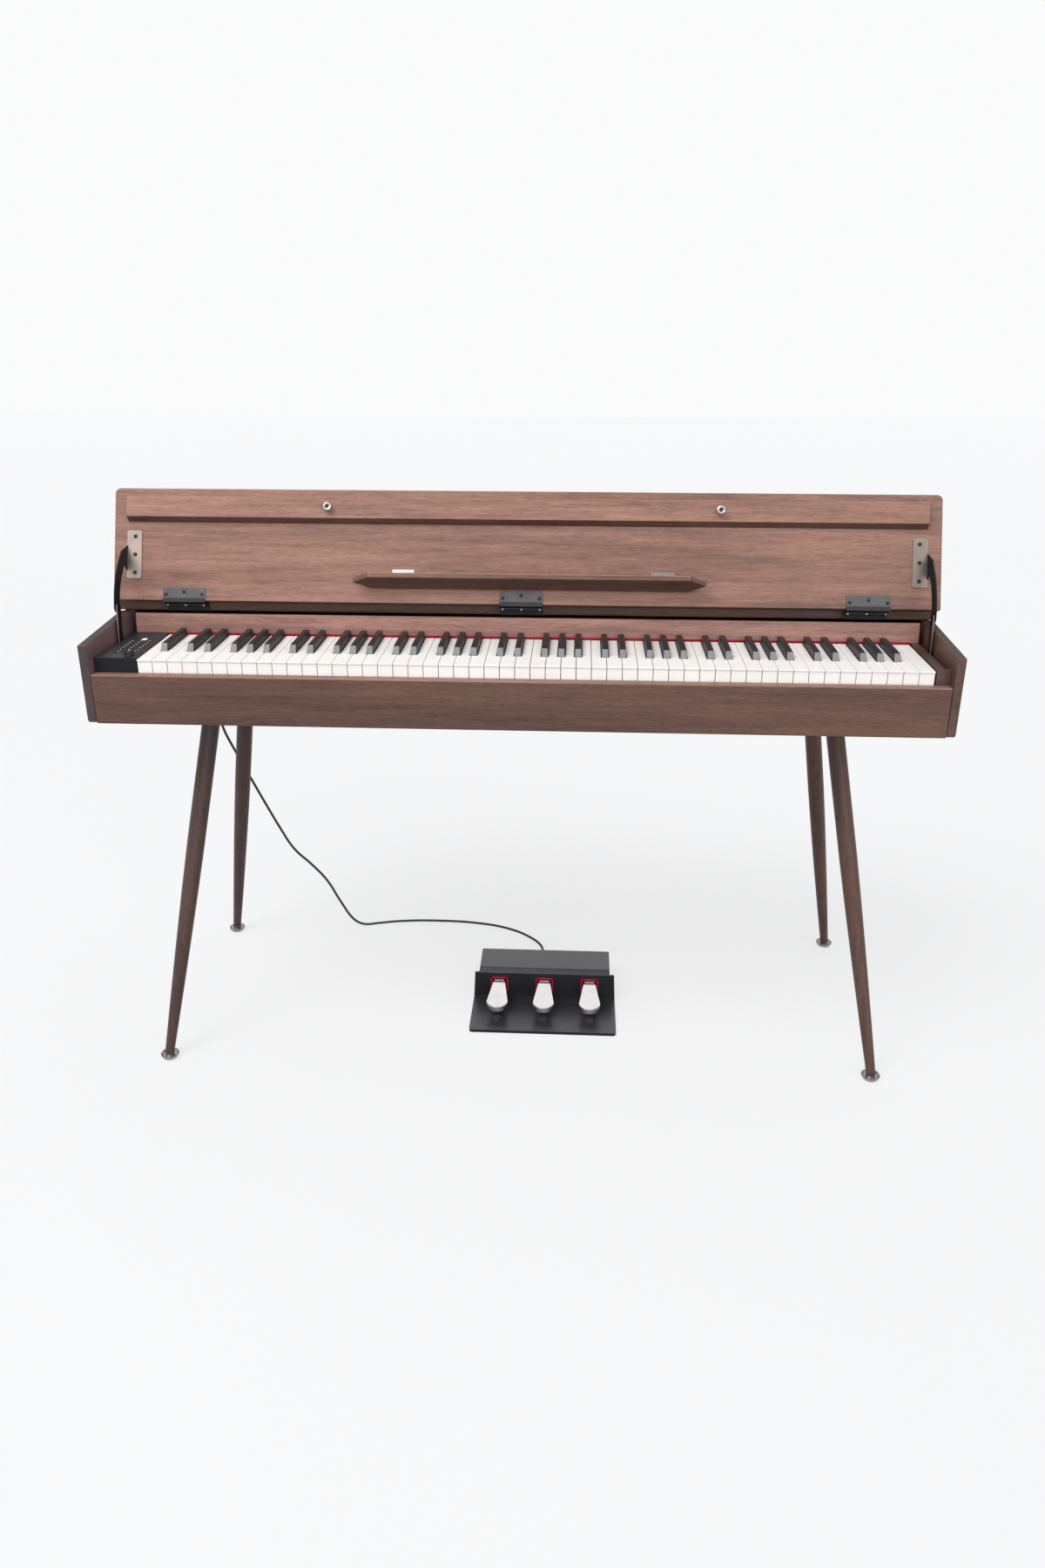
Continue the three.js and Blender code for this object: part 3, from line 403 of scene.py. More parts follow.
def finish(name, maker=None, **details):
    """The material of that name, made on its first use, from the list or with a maker of its own"""
    if name not in _made:
        maker, *values = (maker,) if maker else FINISHES[name]
        _made[name] = maker(name, *values, **details)
    return _made[name]


def veneer(part, tone, **details):
    """The walnut of one part"""
    return finish(f"walnut_{part}", walnut, tone=tone, **details)


def stay_metal(side):
    # Painted light: the plate colour, made paler on the left and darker on the right for how light falls
    tone = 1.1 if side == "left" else 0.70
    colour = tuple(tone * c for c in settings().finish.stay)
    return finish(f"stay_plate_metal_{side}", brushed_metal, colour=colour)


def housing_plastic():
    colour = tuple(settings().finish.housing)
    return finish("pedal_housing_plastic", moulded_plastic,
                  colour=colour, rough=0.26, texture=700.0, gloss=1.0)


# Mesh helpers


def mm(*values):
    """Millimetres as metres"""
    return tuple(value * MM for value in values)


def box_mm(node):
    """Lowest and highest corner of a node in millimetres"""
    return [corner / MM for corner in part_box(node)]


def toward(direction, least):
    """A test for faces that look along a direction"""
    return lambda face: face.normal.dot(direction) > least


def in_scene(name, data):
    """An object of some data, in the scene"""
    made = bpy.data.objects.new(name, data)
    bpy.context.scene.collection.objects.link(made)
    return made


def as_mesh(mesh_data, name):
    """The mesh of a bmesh, which is freed"""
    data = bpy.data.meshes.new(name)
    mesh_data.to_mesh(data)
    mesh_data.free()
    return data


def painted(mesh_data, slot, where=None):
    """Gives the faces that a test picks, or all of them, another of the piece's materials"""
    mesh_data.normal_update()
    for face in mesh_data.faces:
        if where is None or where(face):
            face.material_index = slot
    return mesh_data


def settle(mesh_data, name, body, material, replaced=(), crease=32.0, others=()):
    """A finished piece from a bmesh: smooth faces, sharp creases, riding on a body"""
    bmesh.ops.recalc_face_normals(mesh_data, faces=mesh_data.faces)
    for edge in mesh_data.edges:
        if len(edge.link_faces) == 2 and edge.calc_face_angle(0) > math.radians(crease):
            edge.smooth = False
    for face in mesh_data.faces:
        face.smooth = True
    piece = in_scene(name, as_mesh(mesh_data, name))
    for finished in (material, *others):
        piece.data.materials.append(finished)
    even = piece.modifiers.new("even_shading", "WEIGHTED_NORMAL")
    even.keep_sharp = True
    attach(piece, body)
    if replaced:
        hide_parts(*replaced)
    return piece


def cad_copy(node):
    """The node's solid as a bmesh with its flat faces whole"""
    mesh_data = bmesh.new()
    mesh_data.from_mesh(frame["nodes"][node].data)
    bmesh.ops.remove_doubles(mesh_data, verts=mesh_data.verts, dist=0.02 * MM)
    bmesh.ops.dissolve_limit(
        mesh_data, angle_limit=math.radians(0.8), verts=mesh_data.verts, edges=mesh_data.edges)
    return mesh_data


def bevel(mesh_data, edges, radius, segments):
    bmesh.ops.bevel(
        mesh_data, geom=edges, offset=radius, offset_type="OFFSET", affect="EDGES",
        segments=segments, profile=0.5, material=-1, clamp_overlap=True)


def round_edges(mesh_data, radius, segments=2, angle=28.0, where=None):
    """Rounds the edges that turn more than an angle, or those of them that a test picks"""
    bevel(mesh_data, [
        edge for edge in mesh_data.edges
        if len(edge.link_faces) == 2 and edge.calc_face_angle(0) > math.radians(angle)
        and (where is None or where(edge))
    ], radius, segments)


def settle_for(node, mesh_data, name, material, coats=()):
    """A finished piece in place of a node; coats are pairs of a test for faces and their material"""
    for slot, (where, _) in enumerate(coats, 1):
        painted(mesh_data, slot, where)
    body = frame["nodes"][node]["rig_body"]
    others = [coat for _, coat in coats]
    return settle(mesh_data, name, body, material, (node,), others=others)


def refine(node, name, material, radius, segments=2, coats=()):
    """A finer piece in place of a node: the same solid with rounded edges"""
    mesh_data = cad_copy(node)
    round_edges(mesh_data, radius, segments)
    return settle_for(node, mesh_data, name, material, coats)


def moved(mesh_data, place):
    """A bmesh taken to a place"""
    bmesh.ops.transform(mesh_data, matrix=place, verts=mesh_data.verts)
    return mesh_data


def cut(mesh_data, point, way):
    """Cuts off what lies beyond a plane through a point in millimetres, and closes the solid"""
    everything = mesh_data.verts[:] + mesh_data.edges[:] + mesh_data.faces[:]
    bmesh.ops.bisect_plane(
        mesh_data, geom=everything, plane_co=mm(*point), plane_no=way, clear_outer=True)
    rim = [edge for edge in mesh_data.edges if edge.is_boundary]
    bmesh.ops.holes_fill(mesh_data, edges=rim, sides=0)


def block(low, high, radius=0.0, segments=2, place=None):
    """A box between two corners as a bmesh, with rounded edges, in millimetres"""
    mesh_data = bmesh.new()
    bmesh.ops.create_cube(mesh_data, size=1.0)
    size = [(b - a) * MM for a, b in zip(low, high)]
    centre = [(a + b) / 2 * MM for a, b in zip(low, high)]
    bmesh.ops.scale(mesh_data, vec=size, verts=mesh_data.verts)
    bmesh.ops.translate(mesh_data, vec=centre, verts=mesh_data.verts)
    if radius:
        round_edges(mesh_data, radius * MM, segments)
    return moved(mesh_data, place) if place else mesh_data


def turned(profile, steps, place):
    """A profile of radius and height in millimetres, turned about the upright axis"""
    mesh_data = bmesh.new()
    points = [mesh_data.verts.new(mm(radius, 0.0, height)) for radius, height in profile]
    edges = [mesh_data.edges.new(pair) for pair in zip(points, points[1:])]
    bmesh.ops.spin(
        mesh_data, geom=points + edges, cent=(0, 0, 0), axis=(0, 0, 1),
        angle=math.tau, steps=steps, use_merge=True)
    bmesh.ops.remove_doubles(mesh_data, verts=mesh_data.verts, dist=0.005 * MM)
    return moved(mesh_data, place)


def together(parts):
    """Several bmeshes as one"""
    whole = bmesh.new()
    for part in parts:
        data = as_mesh(part, "part")
        whole.from_mesh(data)
        bpy.data.meshes.remove(data)
    return whole


def standing(x, y, z=0.0):
    """A place with its axis upright"""
    return Matrix.Translation(mm(x, y, z))


def facing(point, direction):
    """A place at a point in metres with its upright axis along a direction"""
    turn = UP.rotation_difference(Vector(direction)).to_matrix().to_4x4()
    return Matrix.Translation(Vector(point)) @ turn


def on_lid(x, rise, out=0.0):
    """A place on the open lid's face: along it, up it and out from it, in millimetres"""
    return facing(LID_PLACE @ Vector(mm(x, -out, rise)), LID_OUT)


def screw(radius, height):
    """Profile of a dome-headed screw with a socket"""
    return [
        (0.0, 0.30 * height), (0.42 * radius, 0.30 * height), (0.46 * radius, height),
        (0.72 * radius, 0.93 * height), (0.92 * radius, 0.55 * height), (radius, 0.0), (0.0, 0.0),
    ]


# Operators


class PIANO_OT_stage(bpy.types.Operator):
    """Makes the floor, the soft lights and the camera"""

    bl_idname = "piano.stage"
    bl_label = "Stage"

    PHOTO_HEIGHT = 1800
    FOCAL_PIXELS = 1312.687
    SHIFT_PIXELS = (-0.253, -4.953)
    CAMERA_PLACE = (0.093858, -1.913145, 1.231663)
    YAW_PITCH_ROLL = (-2.77834, 22.00302, 0.08959)

    FLOOR_SIZE = 14.0
    FLOOR_PALE = ((0.206, 0.207, 0.210), (0.218, 0.219, 0.222))
    FLOOR_BOUNCE = (0.20, 0.195, 0.195)
    FLOOR_GLOW = (0.675, 0.677, 0.682)

    WORLD_COLOUR = (0.955, 0.957, 0.965, 1.0)
    WORLD_STRENGTH = 0.66
    # Name, kind, place, aim, angle or size, and power
    LAMPS = (
        ("key_light", "SUN", (-1.3, -1.5, 3.6), (0.0, 0.0, 0.7), math.radians(34), 1.30),
        ("fill_light", "SUN", (1.2, -3.4, 1.9), (0.0, 0.0, 0.7), math.radians(60), 1.28),
        ("strip_light", "AREA", (-1.0, -1.2, 2.6), (-0.2, 0.0, 0.8), 1.1, 13.0),
    )

    def execute(self, context):
        scene = context.scene
        scene.view_settings.view_transform = "Standard"
        self.add_camera(scene)
        self.add_floor()
        self.add_world(scene)
        self.add_lamps()
        return {"FINISHED"}

    def add_camera(self, scene):
        yaw, pitch, roll = (math.radians(angle) for angle in self.YAW_PITCH_ROLL)
        ahead = Vector((math.sin(yaw), math.cos(yaw), 0.0))
        forward = ahead * math.cos(pitch) - UP * math.sin(pitch)
        level = Vector((math.cos(yaw), -math.sin(yaw), 0.0))
        above = level.cross(forward)
        right = level * math.cos(roll) + above * math.sin(roll)
        up = above * math.cos(roll) - level * math.sin(roll)
        data = bpy.data.cameras.new("photo_view")
        data.sensor_width = 36.0
        data.lens = self.FOCAL_PIXELS / self.PHOTO_HEIGHT * data.sensor_width
        data.shift_x, data.shift_y = (shift / self.PHOTO_HEIGHT for shift in self.SHIFT_PIXELS)
        data.clip_start, data.clip_end = 0.05, 60.0
        scene.camera = in_scene("photo_view", data)
        turn = Matrix((right, up, -forward)).transposed().to_4x4()
        scene.camera.matrix_world = Matrix.Translation(self.CAMERA_PLACE) @ turn

    def add_floor(self):
        mesh_data = bmesh.new()
        bmesh.ops.create_grid(mesh_data, x_segments=2, y_segments=2, size=self.FLOOR_SIZE)
        floor = in_scene("studio_floor", as_mesh(mesh_data, "studio_floor"))
        shade = Shade("pale_floor", Specular_IOR_Level=0.1, Emission_Strength=1.0)
        cloud = shade.noise(shade.place(), 0.8, 2.0)
        seen = (shade.node("ShaderNodeLightPath", output="Is Camera Ray")
                + shade.node("ShaderNodeLightPath", output="Is Glossy Ray")).clamped()
        pale = shade.mix(cloud, *self.FLOOR_PALE)
        shade.put(Base_Color=shade.mix(seen, self.FLOOR_BOUNCE, pale))
        shade.put(Emission_Color=shade.mix(seen, (0.0, 0.0, 0.0), self.FLOOR_GLOW))
        shade.put(Roughness=0.8 + cloud * 0.1)
        floor.data.materials.append(shade.material)

    def add_world(self, scene):
        """A world that is white to the camera and in reflections, and softer as a light"""
        world = bpy.data.worlds.new("studio")
        scene.world = world
        world.use_nodes = True
        tree = world.node_tree
        background = tree.nodes["Background"]
        background.inputs["Color"].default_value = self.WORLD_COLOUR
        path = tree.nodes.new("ShaderNodeLightPath")
        seen = tree.nodes.new("ShaderNodeMath")
        seen.operation = "MAXIMUM"
        tree.links.new(path.outputs["Is Camera Ray"], seen.inputs[0])
        tree.links.new(path.outputs["Is Glossy Ray"], seen.inputs[1])
        strength = tree.nodes.new("ShaderNodeMapRange")
        tree.links.new(seen.outputs[0], strength.inputs["Value"])
        strength.inputs["To Min"].default_value = self.WORLD_STRENGTH
        strength.inputs["To Max"].default_value = 1.0
        tree.links.new(strength.outputs[0], background.inputs["Strength"])

    def add_lamps(self):
        for name, kind, spot, aim, size, power in self.LAMPS:
            data = bpy.data.lights.new(name, kind)
            data.energy = power
            if kind == "SUN":
                data.angle = size
            else:
                data.size = size
            lamp = in_scene(name, data)
            lamp.location = spot
            lamp.rotation_mode = "QUATERNION"
            lamp.rotation_quaternion = (Vector(aim) - Vector(spot)).to_track_quat("-Z", "Y")


class PIANO_OT_cable(bpy.types.Operator):
    """Makes the pedal cable and its plug"""

    bl_idname = "piano.cable"
    bl_label = "Pedal Cable"

    RADIUS = 2.5
    BOOT_REACH = 6.4
    ROUTE = (
        (36, 86.3, 22), (36, 98.5, 21.4), (36, 114.7, 16.2), (36, 131.9, 8.6), (35.7, 147.1, 4.1),
        (35.4, 160.3, 2.8), (32.1, 189.5, 2.8), (6.8, 226.6, 2.8), (-45, 263.3, 2.8),
        (-107.9, 282.1, 2.8), (-188.9, 289, 2.8), (-280.2, 283.1, 2.8), (-330.1, 271.2, 2.8),
        (-352.2, 264, 3.6), (-365.8, 259.5, 9), (-378.1, 256, 20), (-402.7, 249, 66),
        (-428, 243, 119.8), (-453.9, 236, 157), (-488.9, 227, 200), (-512.9, 220, 250),
        (-527.8, 216, 285), (-556.9, 209, 355.1), (-586.1, 201, 428), (-604.2, 196, 480.1),
        (-611, 194, 539.9), (-612, 194, 585), (-612, 194, 612.4),
    )
    PLUG = (
        (0.0, 612.7), (3.4, 612.7), (4.4, 614.4), (4.7, 618.0), (5.4, 619.0), (5.4, 634.0),
        (5.0, 637.0), (2.7, 637.3), (2.7, 649.6), (0.0, 649.9),
    )
    BOOT = (
        (0.0, 0.0), (5.2, 0.0), (5.2, 1.2), (4.1, 1.8), (3.9, 5.0), (3.2, 11.0), (2.85, 12.0), (0.0, 12.0),
    )

    def execute(self, context):
        points = [Vector(mm(*point)) for point in self.ROUTE]
        lead, length = self.add_lead(context, points)
        rubber = finish("black_rubber")
        plug = settle(turned(self.PLUG, 32, standing(*self.ROUTE[-1][:2])),
                      "jack_plug", "cabinet", rubber, ("cable_plug",))
        boot = turned(self.BOOT, 32, facing(points[0] + FRONT * self.BOOT_REACH * MM, -FRONT))
        relief = settle(boot, "cable_boot", "cabinet", rubber)
        return {"FINISHED"}

    def add_lead(self, context, points):
        """The cable along its route, and its length"""
        data = bpy.data.curves.new("pedal_lead", "CURVE")
        data.dimensions = "3D"
        data.bevel_depth = self.RADIUS * MM
        data.bevel_resolution = 3
        data.resolution_u = 6
        data.use_fill_caps = True
        spline = data.splines.new("BEZIER")
        spline.bezier_points.add(len(points) - 1)
        for point, spot in zip(spline.bezier_points, points):
            point.co = spot
            point.handle_left_type = point.handle_right_type = "AUTO"
        lead = in_scene("pedal_lead", data)
        context.view_layer.update()
        length = 0.0
        for first, second in zip(spline.bezier_points, spline.bezier_points[1:]):
            steps = interpolate_bezier(first.co, first.handle_right, second.handle_left, second.co, 12)
            length += sum((b - a).length for a, b in zip(steps, steps[1:]))
        data.materials.append(finish("cable_jacket"))
        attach(lead, "cabinet")
        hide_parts("pedal_cable")
        return lead, length


class PIANO_OT_cabinet(bpy.types.Operator):
    """Makes the boards of the cabinet, the fascia and its felt"""

    bl_idname = "piano.cabinet"
    bl_label = "Cabinet"

    FELT_START, FELT_END = -589.5, 634.8

    def execute(self, context):
        # Painted light: the left panel's inside is a paler, greyer copy of the veneer as sheen, and its front
        # edge a darker copy as shade
        self.add_end("left", -1, inside_tone=1.06, front_tone=0.31, cool=0.55)
        self.add_end("right", 1, inside_tone=0.42, front_tone=0.42, cool=0.0)
        # Painted light: the rail is a darker copy of the veneer for the shade on its upright face, and its
        # upward faces a paler copy for the light from above
        refine("front_rail", "keyslip_rail", veneer("rail", 0.46, coat=0.25), 2.4 * MM, 4,
               [(toward(UP, 0.3), veneer("rail_top", 0.95))])
        boards = veneer("boards", 0.72)
        refine("bottom_board", "floor_board", boards, 0.6 * MM)
        refine("back_panel", "rear_board", boards, 0.8 * MM)
        # Painted shade: the top board's front face, under the open lid, is a darker copy of its veneer
        refine("top_board", "top_shelf", veneer("top", 0.88), 2.0 * MM, 3,
               [(toward(FRONT, 0.6), veneer("top_front", 0.40))])
        # Painted light: the name board is a paler, greyer copy of the veneer for the light the white keys
        # throw up on it
        refine("fascia_board", "name_board", veneer("fascia", 1.46, cool=0.12), 0.8 * MM)
        refine("key_block_right", "cheek_right", veneer("cheek", 0.42, coat=0.2, cool=0.3), 0.8 * MM)
        bed = frame["nodes"]["key_bed"]
        bed.data.materials.clear()
        bed.data.materials.append(finish("control_panel_plastic"))
        self.add_felt()
        return {"FINISHED"}

    def add_end(self, side, sign, inside_tone, front_tone, cool):
        """An end panel whose sloping top starts under the front of the top board"""
        node = f"end_panel_{side}"
        panel = cad_copy(node)
        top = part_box(node)[1].z
        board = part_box("top_board")[0].y
        for vert in panel.verts:
            if vert.co.z > top - 0.5 * MM and vert.co.y < board + 12 * MM:
                vert.co.y = min(vert.co.y, board - 0.5 * MM)
        round_edges(panel, settings().edges.board, 3)

        def end_wood(part, tone, coat=0.35, shift=cool):
            return veneer(f"end_{part}", tone, grain=ALONG_Y, coat=coat, cool=shift)

        # Lit and shaded copies of the veneer on the inside and front faces; the flat top under the lid is
        # painted nearly black as shade
        settle_for(node, panel, f"end_board_{side}", end_wood("outside", 0.44, shift=0.0), [
            (toward(Vector((-sign, 0, 0)), 0.8), end_wood(f"inside_{side}", inside_tone)),
            (toward(FRONT, 0.6), end_wood(f"front_{side}", front_tone)),
            (toward(UP, 0.97), end_wood("under_lid", 0.16, 0.0, 0.0)),
        ])

    def add_felt(self):
        """The felt behind the keys, with a lip down to their tops"""
        low = box_mm("fascia_board")[0]
        start = (self.FELT_START, low.y - 1.4, KEY_TOP + 0.5)
        for name, end, radius in (
            ("key_felt", (self.FELT_END, low.y + 5.0, low.z - 0.1), 0.4),
            ("key_felt_lip", (self.FELT_END, low.y - 0.2, KEY_TOP + 4.2), 0.3),
        ):
            settle(block(start, end, radius), name, "cabinet", finish("red_felt"))


class PIANO_OT_lid(bpy.types.Operator):
    """Makes the lid, its fold-over strip, knobs and music ledge"""

    bl_idname = "piano.lid"
    bl_label = "Lid"

    KNOB_LENGTH = 12.0
    KNOB = (
        (0.0, 0.0), (5.2, 0.0), (5.4, 0.8), (4.2, 1.8), (4.0, 5.4), (5.0, 6.2), (6.9, 7.0),
        (7.0, 9.4), (6.4, 11.0), (4.6, 11.8), (3.9, 11.6), (3.4, 10.9), (0.0, 10.9),
    )
    SOCKET_RADIUS = 2.6
    # Lower edge of the strip: the heights it lies under and starts from, and its slope
    STRIP_EDGE_TOP, STRIP_EDGE_FOOT, STRIP_EDGE_SLOPE = 139, 130.2, 0.6
    PLATE_RISE = (33, 56)
    PLATE_SCREW_RISE = 48

    def execute(self, context):
        # Painted shade: faces looking down the lid take darker copies of the veneer
        under = toward(-LID_UP, 0.55)
        refine("lid_panel", "lid_board", veneer("lid", 1.0), settings().edges.lid, 3,
               [(under, veneer("lid_edge", 0.50))])
        self.add_strip(under)
        # The music rest is lit and shaded copies of one veneer: its slim top bevel paler as a painted
        # highlight, its front and ends darker, its underside darker still as shade
        refine("music_ledge", "music_rest", veneer("ledge", 1.7), 1.8 * MM, 4, [
            (lambda face: face.normal.dot(LID_OUT) > 0.9 or abs(face.normal.x) > 0.3,
             veneer("ledge_front", 0.55)),
            (under, veneer("ledge_under", 0.40)),
        ])
        for side, _ in SIDES:
            self.add_knob(side)
        # Painted light: the two plates are alike; the left one is painted silver for the light it reflects,
        # the right one dark grey as shade
        self.add_ledge_plate("left", -213, -177, "silver")
        self.add_ledge_plate("right", 213, 251, "grey")
        return {"FINISHED"}

    def add_strip(self, under):
        """The strip slopes in from its front face to the lid along its lower edge"""
        strip = moved(cad_copy("lid_flap"), LID_PLACE.inverted())
        for vert in strip.verts:
            if vert.co.z < self.STRIP_EDGE_TOP * MM:
                out = -vert.co.y / MM
                out = 5.3 if 4.0 < out < 7.0 else out
                vert.co.z = (self.STRIP_EDGE_FOOT + self.STRIP_EDGE_SLOPE * (out - 0.3)) * MM
        moved(strip, LID_PLACE)
        round_edges(strip, 0.7 * MM, 3)
        # Painted shade: the strip's sloping lower edge takes a darker copy of the veneer
        settle_for("lid_flap", strip, "lid_strip", veneer("strip", 1.12),
                   [(under, veneer("strip_edge", 0.46))])

    def add_knob(self, side):
        """A turned knob with a shallow socket in its face, whose floor is painted black as shade"""
        node = f"lid_knob_{side}"
        low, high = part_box(node)
        foot = (low + high) / 2 + LID_BACK * self.KNOB_LENGTH / 2 * MM
        socket = foot + LID_OUT * self.KNOB[-1][1] * MM
        knob = turned(self.KNOB, 36, facing(foot, LID_OUT))
        # Painted shade: the socket's floor is painted black
        painted(knob, 1, lambda face:
                (face.calc_center_median() - socket).length < self.SOCKET_RADIUS * MM)
        settle(knob, f"pull_knob_{side}", "flap", finish("nickel_plate"), (node,),
               others=(finish("black_painted_steel"),))

    def add_ledge_plate(self, side, start, end, tint):
        """A thin plate let into the lid above the ledge, with two flush screws"""
        low_rise, high_rise = self.PLATE_RISE
        parts = [block((start, -0.22, low_rise), (end, -0.02, high_rise), 0.06, 1, LID_PLACE)]
        head = ((0.0, 0.0), (2.6, 0.0), (2.6, 0.04), (0.0, 0.05))
        for x in (start + 9, end - 9):
            parts.append(turned(head, 20, on_lid(x, self.PLATE_SCREW_RISE, 0.2)))
        settle(together(parts), f"ledge_plate_{side}", "lid", finish(f"ledge_plate_{tint}"))


class PIANO_OT_hinges(bpy.types.Operator):
    """Makes the three lid hinges"""

    bl_idname = "piano.hinges"
    bl_label = "Hinges"

    # Half lengths of the leaf and of the gap between its knuckles, and heights up the lid's face
    HALF = 35.5
    GAP_HALF = 12.3
    PLATE_TOP = 22.0
    FOOT = -2.7
    BARREL = ((0.0, 0.0), (2.6, 0.0), (2.9, 0.3), (2.9, 22.9), (2.6, 23.2), (0.0, 23.2))
    # Steps along the leaf and rises up it
    LEAF_SCREWS = ((-30.3, 10.3), (0, 14.9), (30.3, 10.3))
    KNUCKLE_SCREWS = ((-30.5, "lid"), (0, "cabinet"), (30.5, "lid"))

    def execute(self, context):
        for place in ("left", "middle", "right"):
            lower = f"hinge_leaf_lower_{place}"
            refine(lower, f"board_leaf_{place}", finish("black_painted_steel"), settings().edges.metal)
            low, high = box_mm(lower)
            centre = (low.x + high.x) / 2
            self.add_upper_leaf(place, centre)
            for i, (step, body) in enumerate(self.KNUCKLE_SCREWS):
                spot = mm(centre + step, low.y + 0.05, high.z - 3.6)
                head = turned(screw(1.3, 0.15), 16, facing(spot, (0, -1, 0.0001)))
                settle(head, f"knuckle_screw_{place}_{i}", body, finish("nickel_plate"))
        return {"FINISHED"}

    def add_upper_leaf(self, place, x):
        """A grey plate with clipped corners over a black foot and two knuckles"""
        start, end = x - self.HALF, x + self.HALF
        inner_start, inner_end = x - self.GAP_HALF, x + self.GAP_HALF
        plate = block((start, -1.9, -1.9), (end, -0.3, self.PLATE_TOP))
        bevel(plate, [
            edge for edge in plate.edges
            if all(vert.co.z > (self.PLATE_TOP - 2) * MM for vert in edge.verts)
            and abs(edge.verts[0].co.x - edge.verts[1].co.x) < 0.1 * MM
        ], 3.4 * MM, 4)
        round_edges(plate, 0.3 * MM, 2, 50.0)
        parts = [painted(moved(plate, LID_PLACE), 1)]
        for low, high, edge in (
            ((start, -3.1, self.FOOT), (end, -1.7, 4.4), 0.6),
            ((start, -1.9, self.FOOT), (inner_start, LID_FACE, -0.3), 0.3),
            ((inner_end, -1.9, self.FOOT), (end, LID_FACE, -0.3), 0.3),
            ((inner_start, -1.9, self.FOOT), (inner_end, 6.2, -0.3), 0.3),
        ):
            parts.append(block(low, high, edge, 2, LID_PLACE))
        for first in (start, inner_end):
            pin = LID_PLACE @ Vector(mm(first, LID_FACE, -LID_EDGE))
            parts.append(turned(self.BARREL, 24, facing(pin, (1, 0, 0))))
        for step, rise in self.LEAF_SCREWS:
            parts.append(turned(screw(3.1, 1.0), 20, on_lid(x + step, rise, 1.8)))
        settle(together(parts), f"lid_leaf_{place}", "lid", finish("black_painted_steel"),
               (f"hinge_leaf_upper_{place}",), others=(finish("grey_painted_steel"),))


class PIANO_OT_stays(bpy.types.Operator):
    """Makes the stays that carry the open lid"""

    bl_idname = "piano.stays"
    bl_label = "Stays"

    ARM_GROWTH = 1.6
    SCREW_X = 644.6
    SCREW_RISES = (46, 76, 106)

    def execute(self, context):
        for side, sign in SIDES:
            self.add_bracket(side)
            self.add_arm(side)
            # Painted highlight: the strut's forward faces take the paler plate metal as the bright line along
            # it
            refine(f"stay_strut_{side}", f"stay_lower_{side}", finish("stay_black_steel"),
                   settings().edges.metal, coats=[(toward(FRONT, 0.8), stay_metal(side))])
            for i, rise in enumerate(self.SCREW_RISES):
                head = turned(screw(3.4, 1.1), 20, on_lid(sign * self.SCREW_X, rise, 1.9))
                settle(head, f"stay_screw_{side}_{i}", "lid", finish("black_painted_steel"))
        return {"FINISHED"}

    def add_bracket(self, side):
        """A pale plate with rounded corners and a black ear for the arm's pin"""
        node = f"stay_bracket_{side}"
        plate = cad_copy(node)
        bevel(plate, [
            edge for edge in plate.edges
            if edge.calc_length() < 2 * MM
            and abs((edge.verts[0].co - edge.verts[1].co).normalized().dot(LID_OUT)) > 0.99
        ], 3.6 * MM, 4)
        round_edges(plate, 0.25 * MM, 2, 50.0)
        base = LID_PLACE.inverted()
        settle_for(node, plate, f"stay_plate_{side}", stay_metal(side), [
            (lambda face: (base @ face.calc_center_median()).y < -2.2 * MM, finish("stay_black_steel")),
        ])

    def add_arm(self, side):
        """The curved arm, a little broader than its solid"""
        node = f"stay_arm_{side}"
        arm = cad_copy(node)
        bmesh.ops.recalc_face_normals(arm, faces=arm.faces)
        arm.normal_update()
        moves = {}
        for vert in arm.verts:
            flat = Vector((0.0, vert.normal.y, vert.normal.z))
            if flat.length > 0.2:
                moves[vert] = flat.normalized() * self.ARM_GROWTH * MM
        for vert, move in moves.items():
            vert.co += move
        round_edges(arm, 0.4 * MM, 2, 50.0)
        settle_for(node, arm, f"stay_upper_{side}", finish("stay_black_steel"))


class PIANO_OT_keyboard(bpy.types.Operator):
    """Makes the white and black keys"""

    bl_idname = "piano.keyboard"
    bl_label = "Keyboard"

    def execute(self, context):
        edges = settings().edges
        for node in sorted(frame["nodes"]):
            if node.startswith("white_keys") or (node.startswith("key_") and len(node) == len("key_c4")):
                refine(node, f"{node}_tops", finish("ivory_keys"), edges.white_key)
            elif node.startswith("black_keys") or "sharp4" in node:
                refine(node, f"{node}_tops", finish("ebony_keys"), edges.black_key, 3)
        return {"FINISHED"}


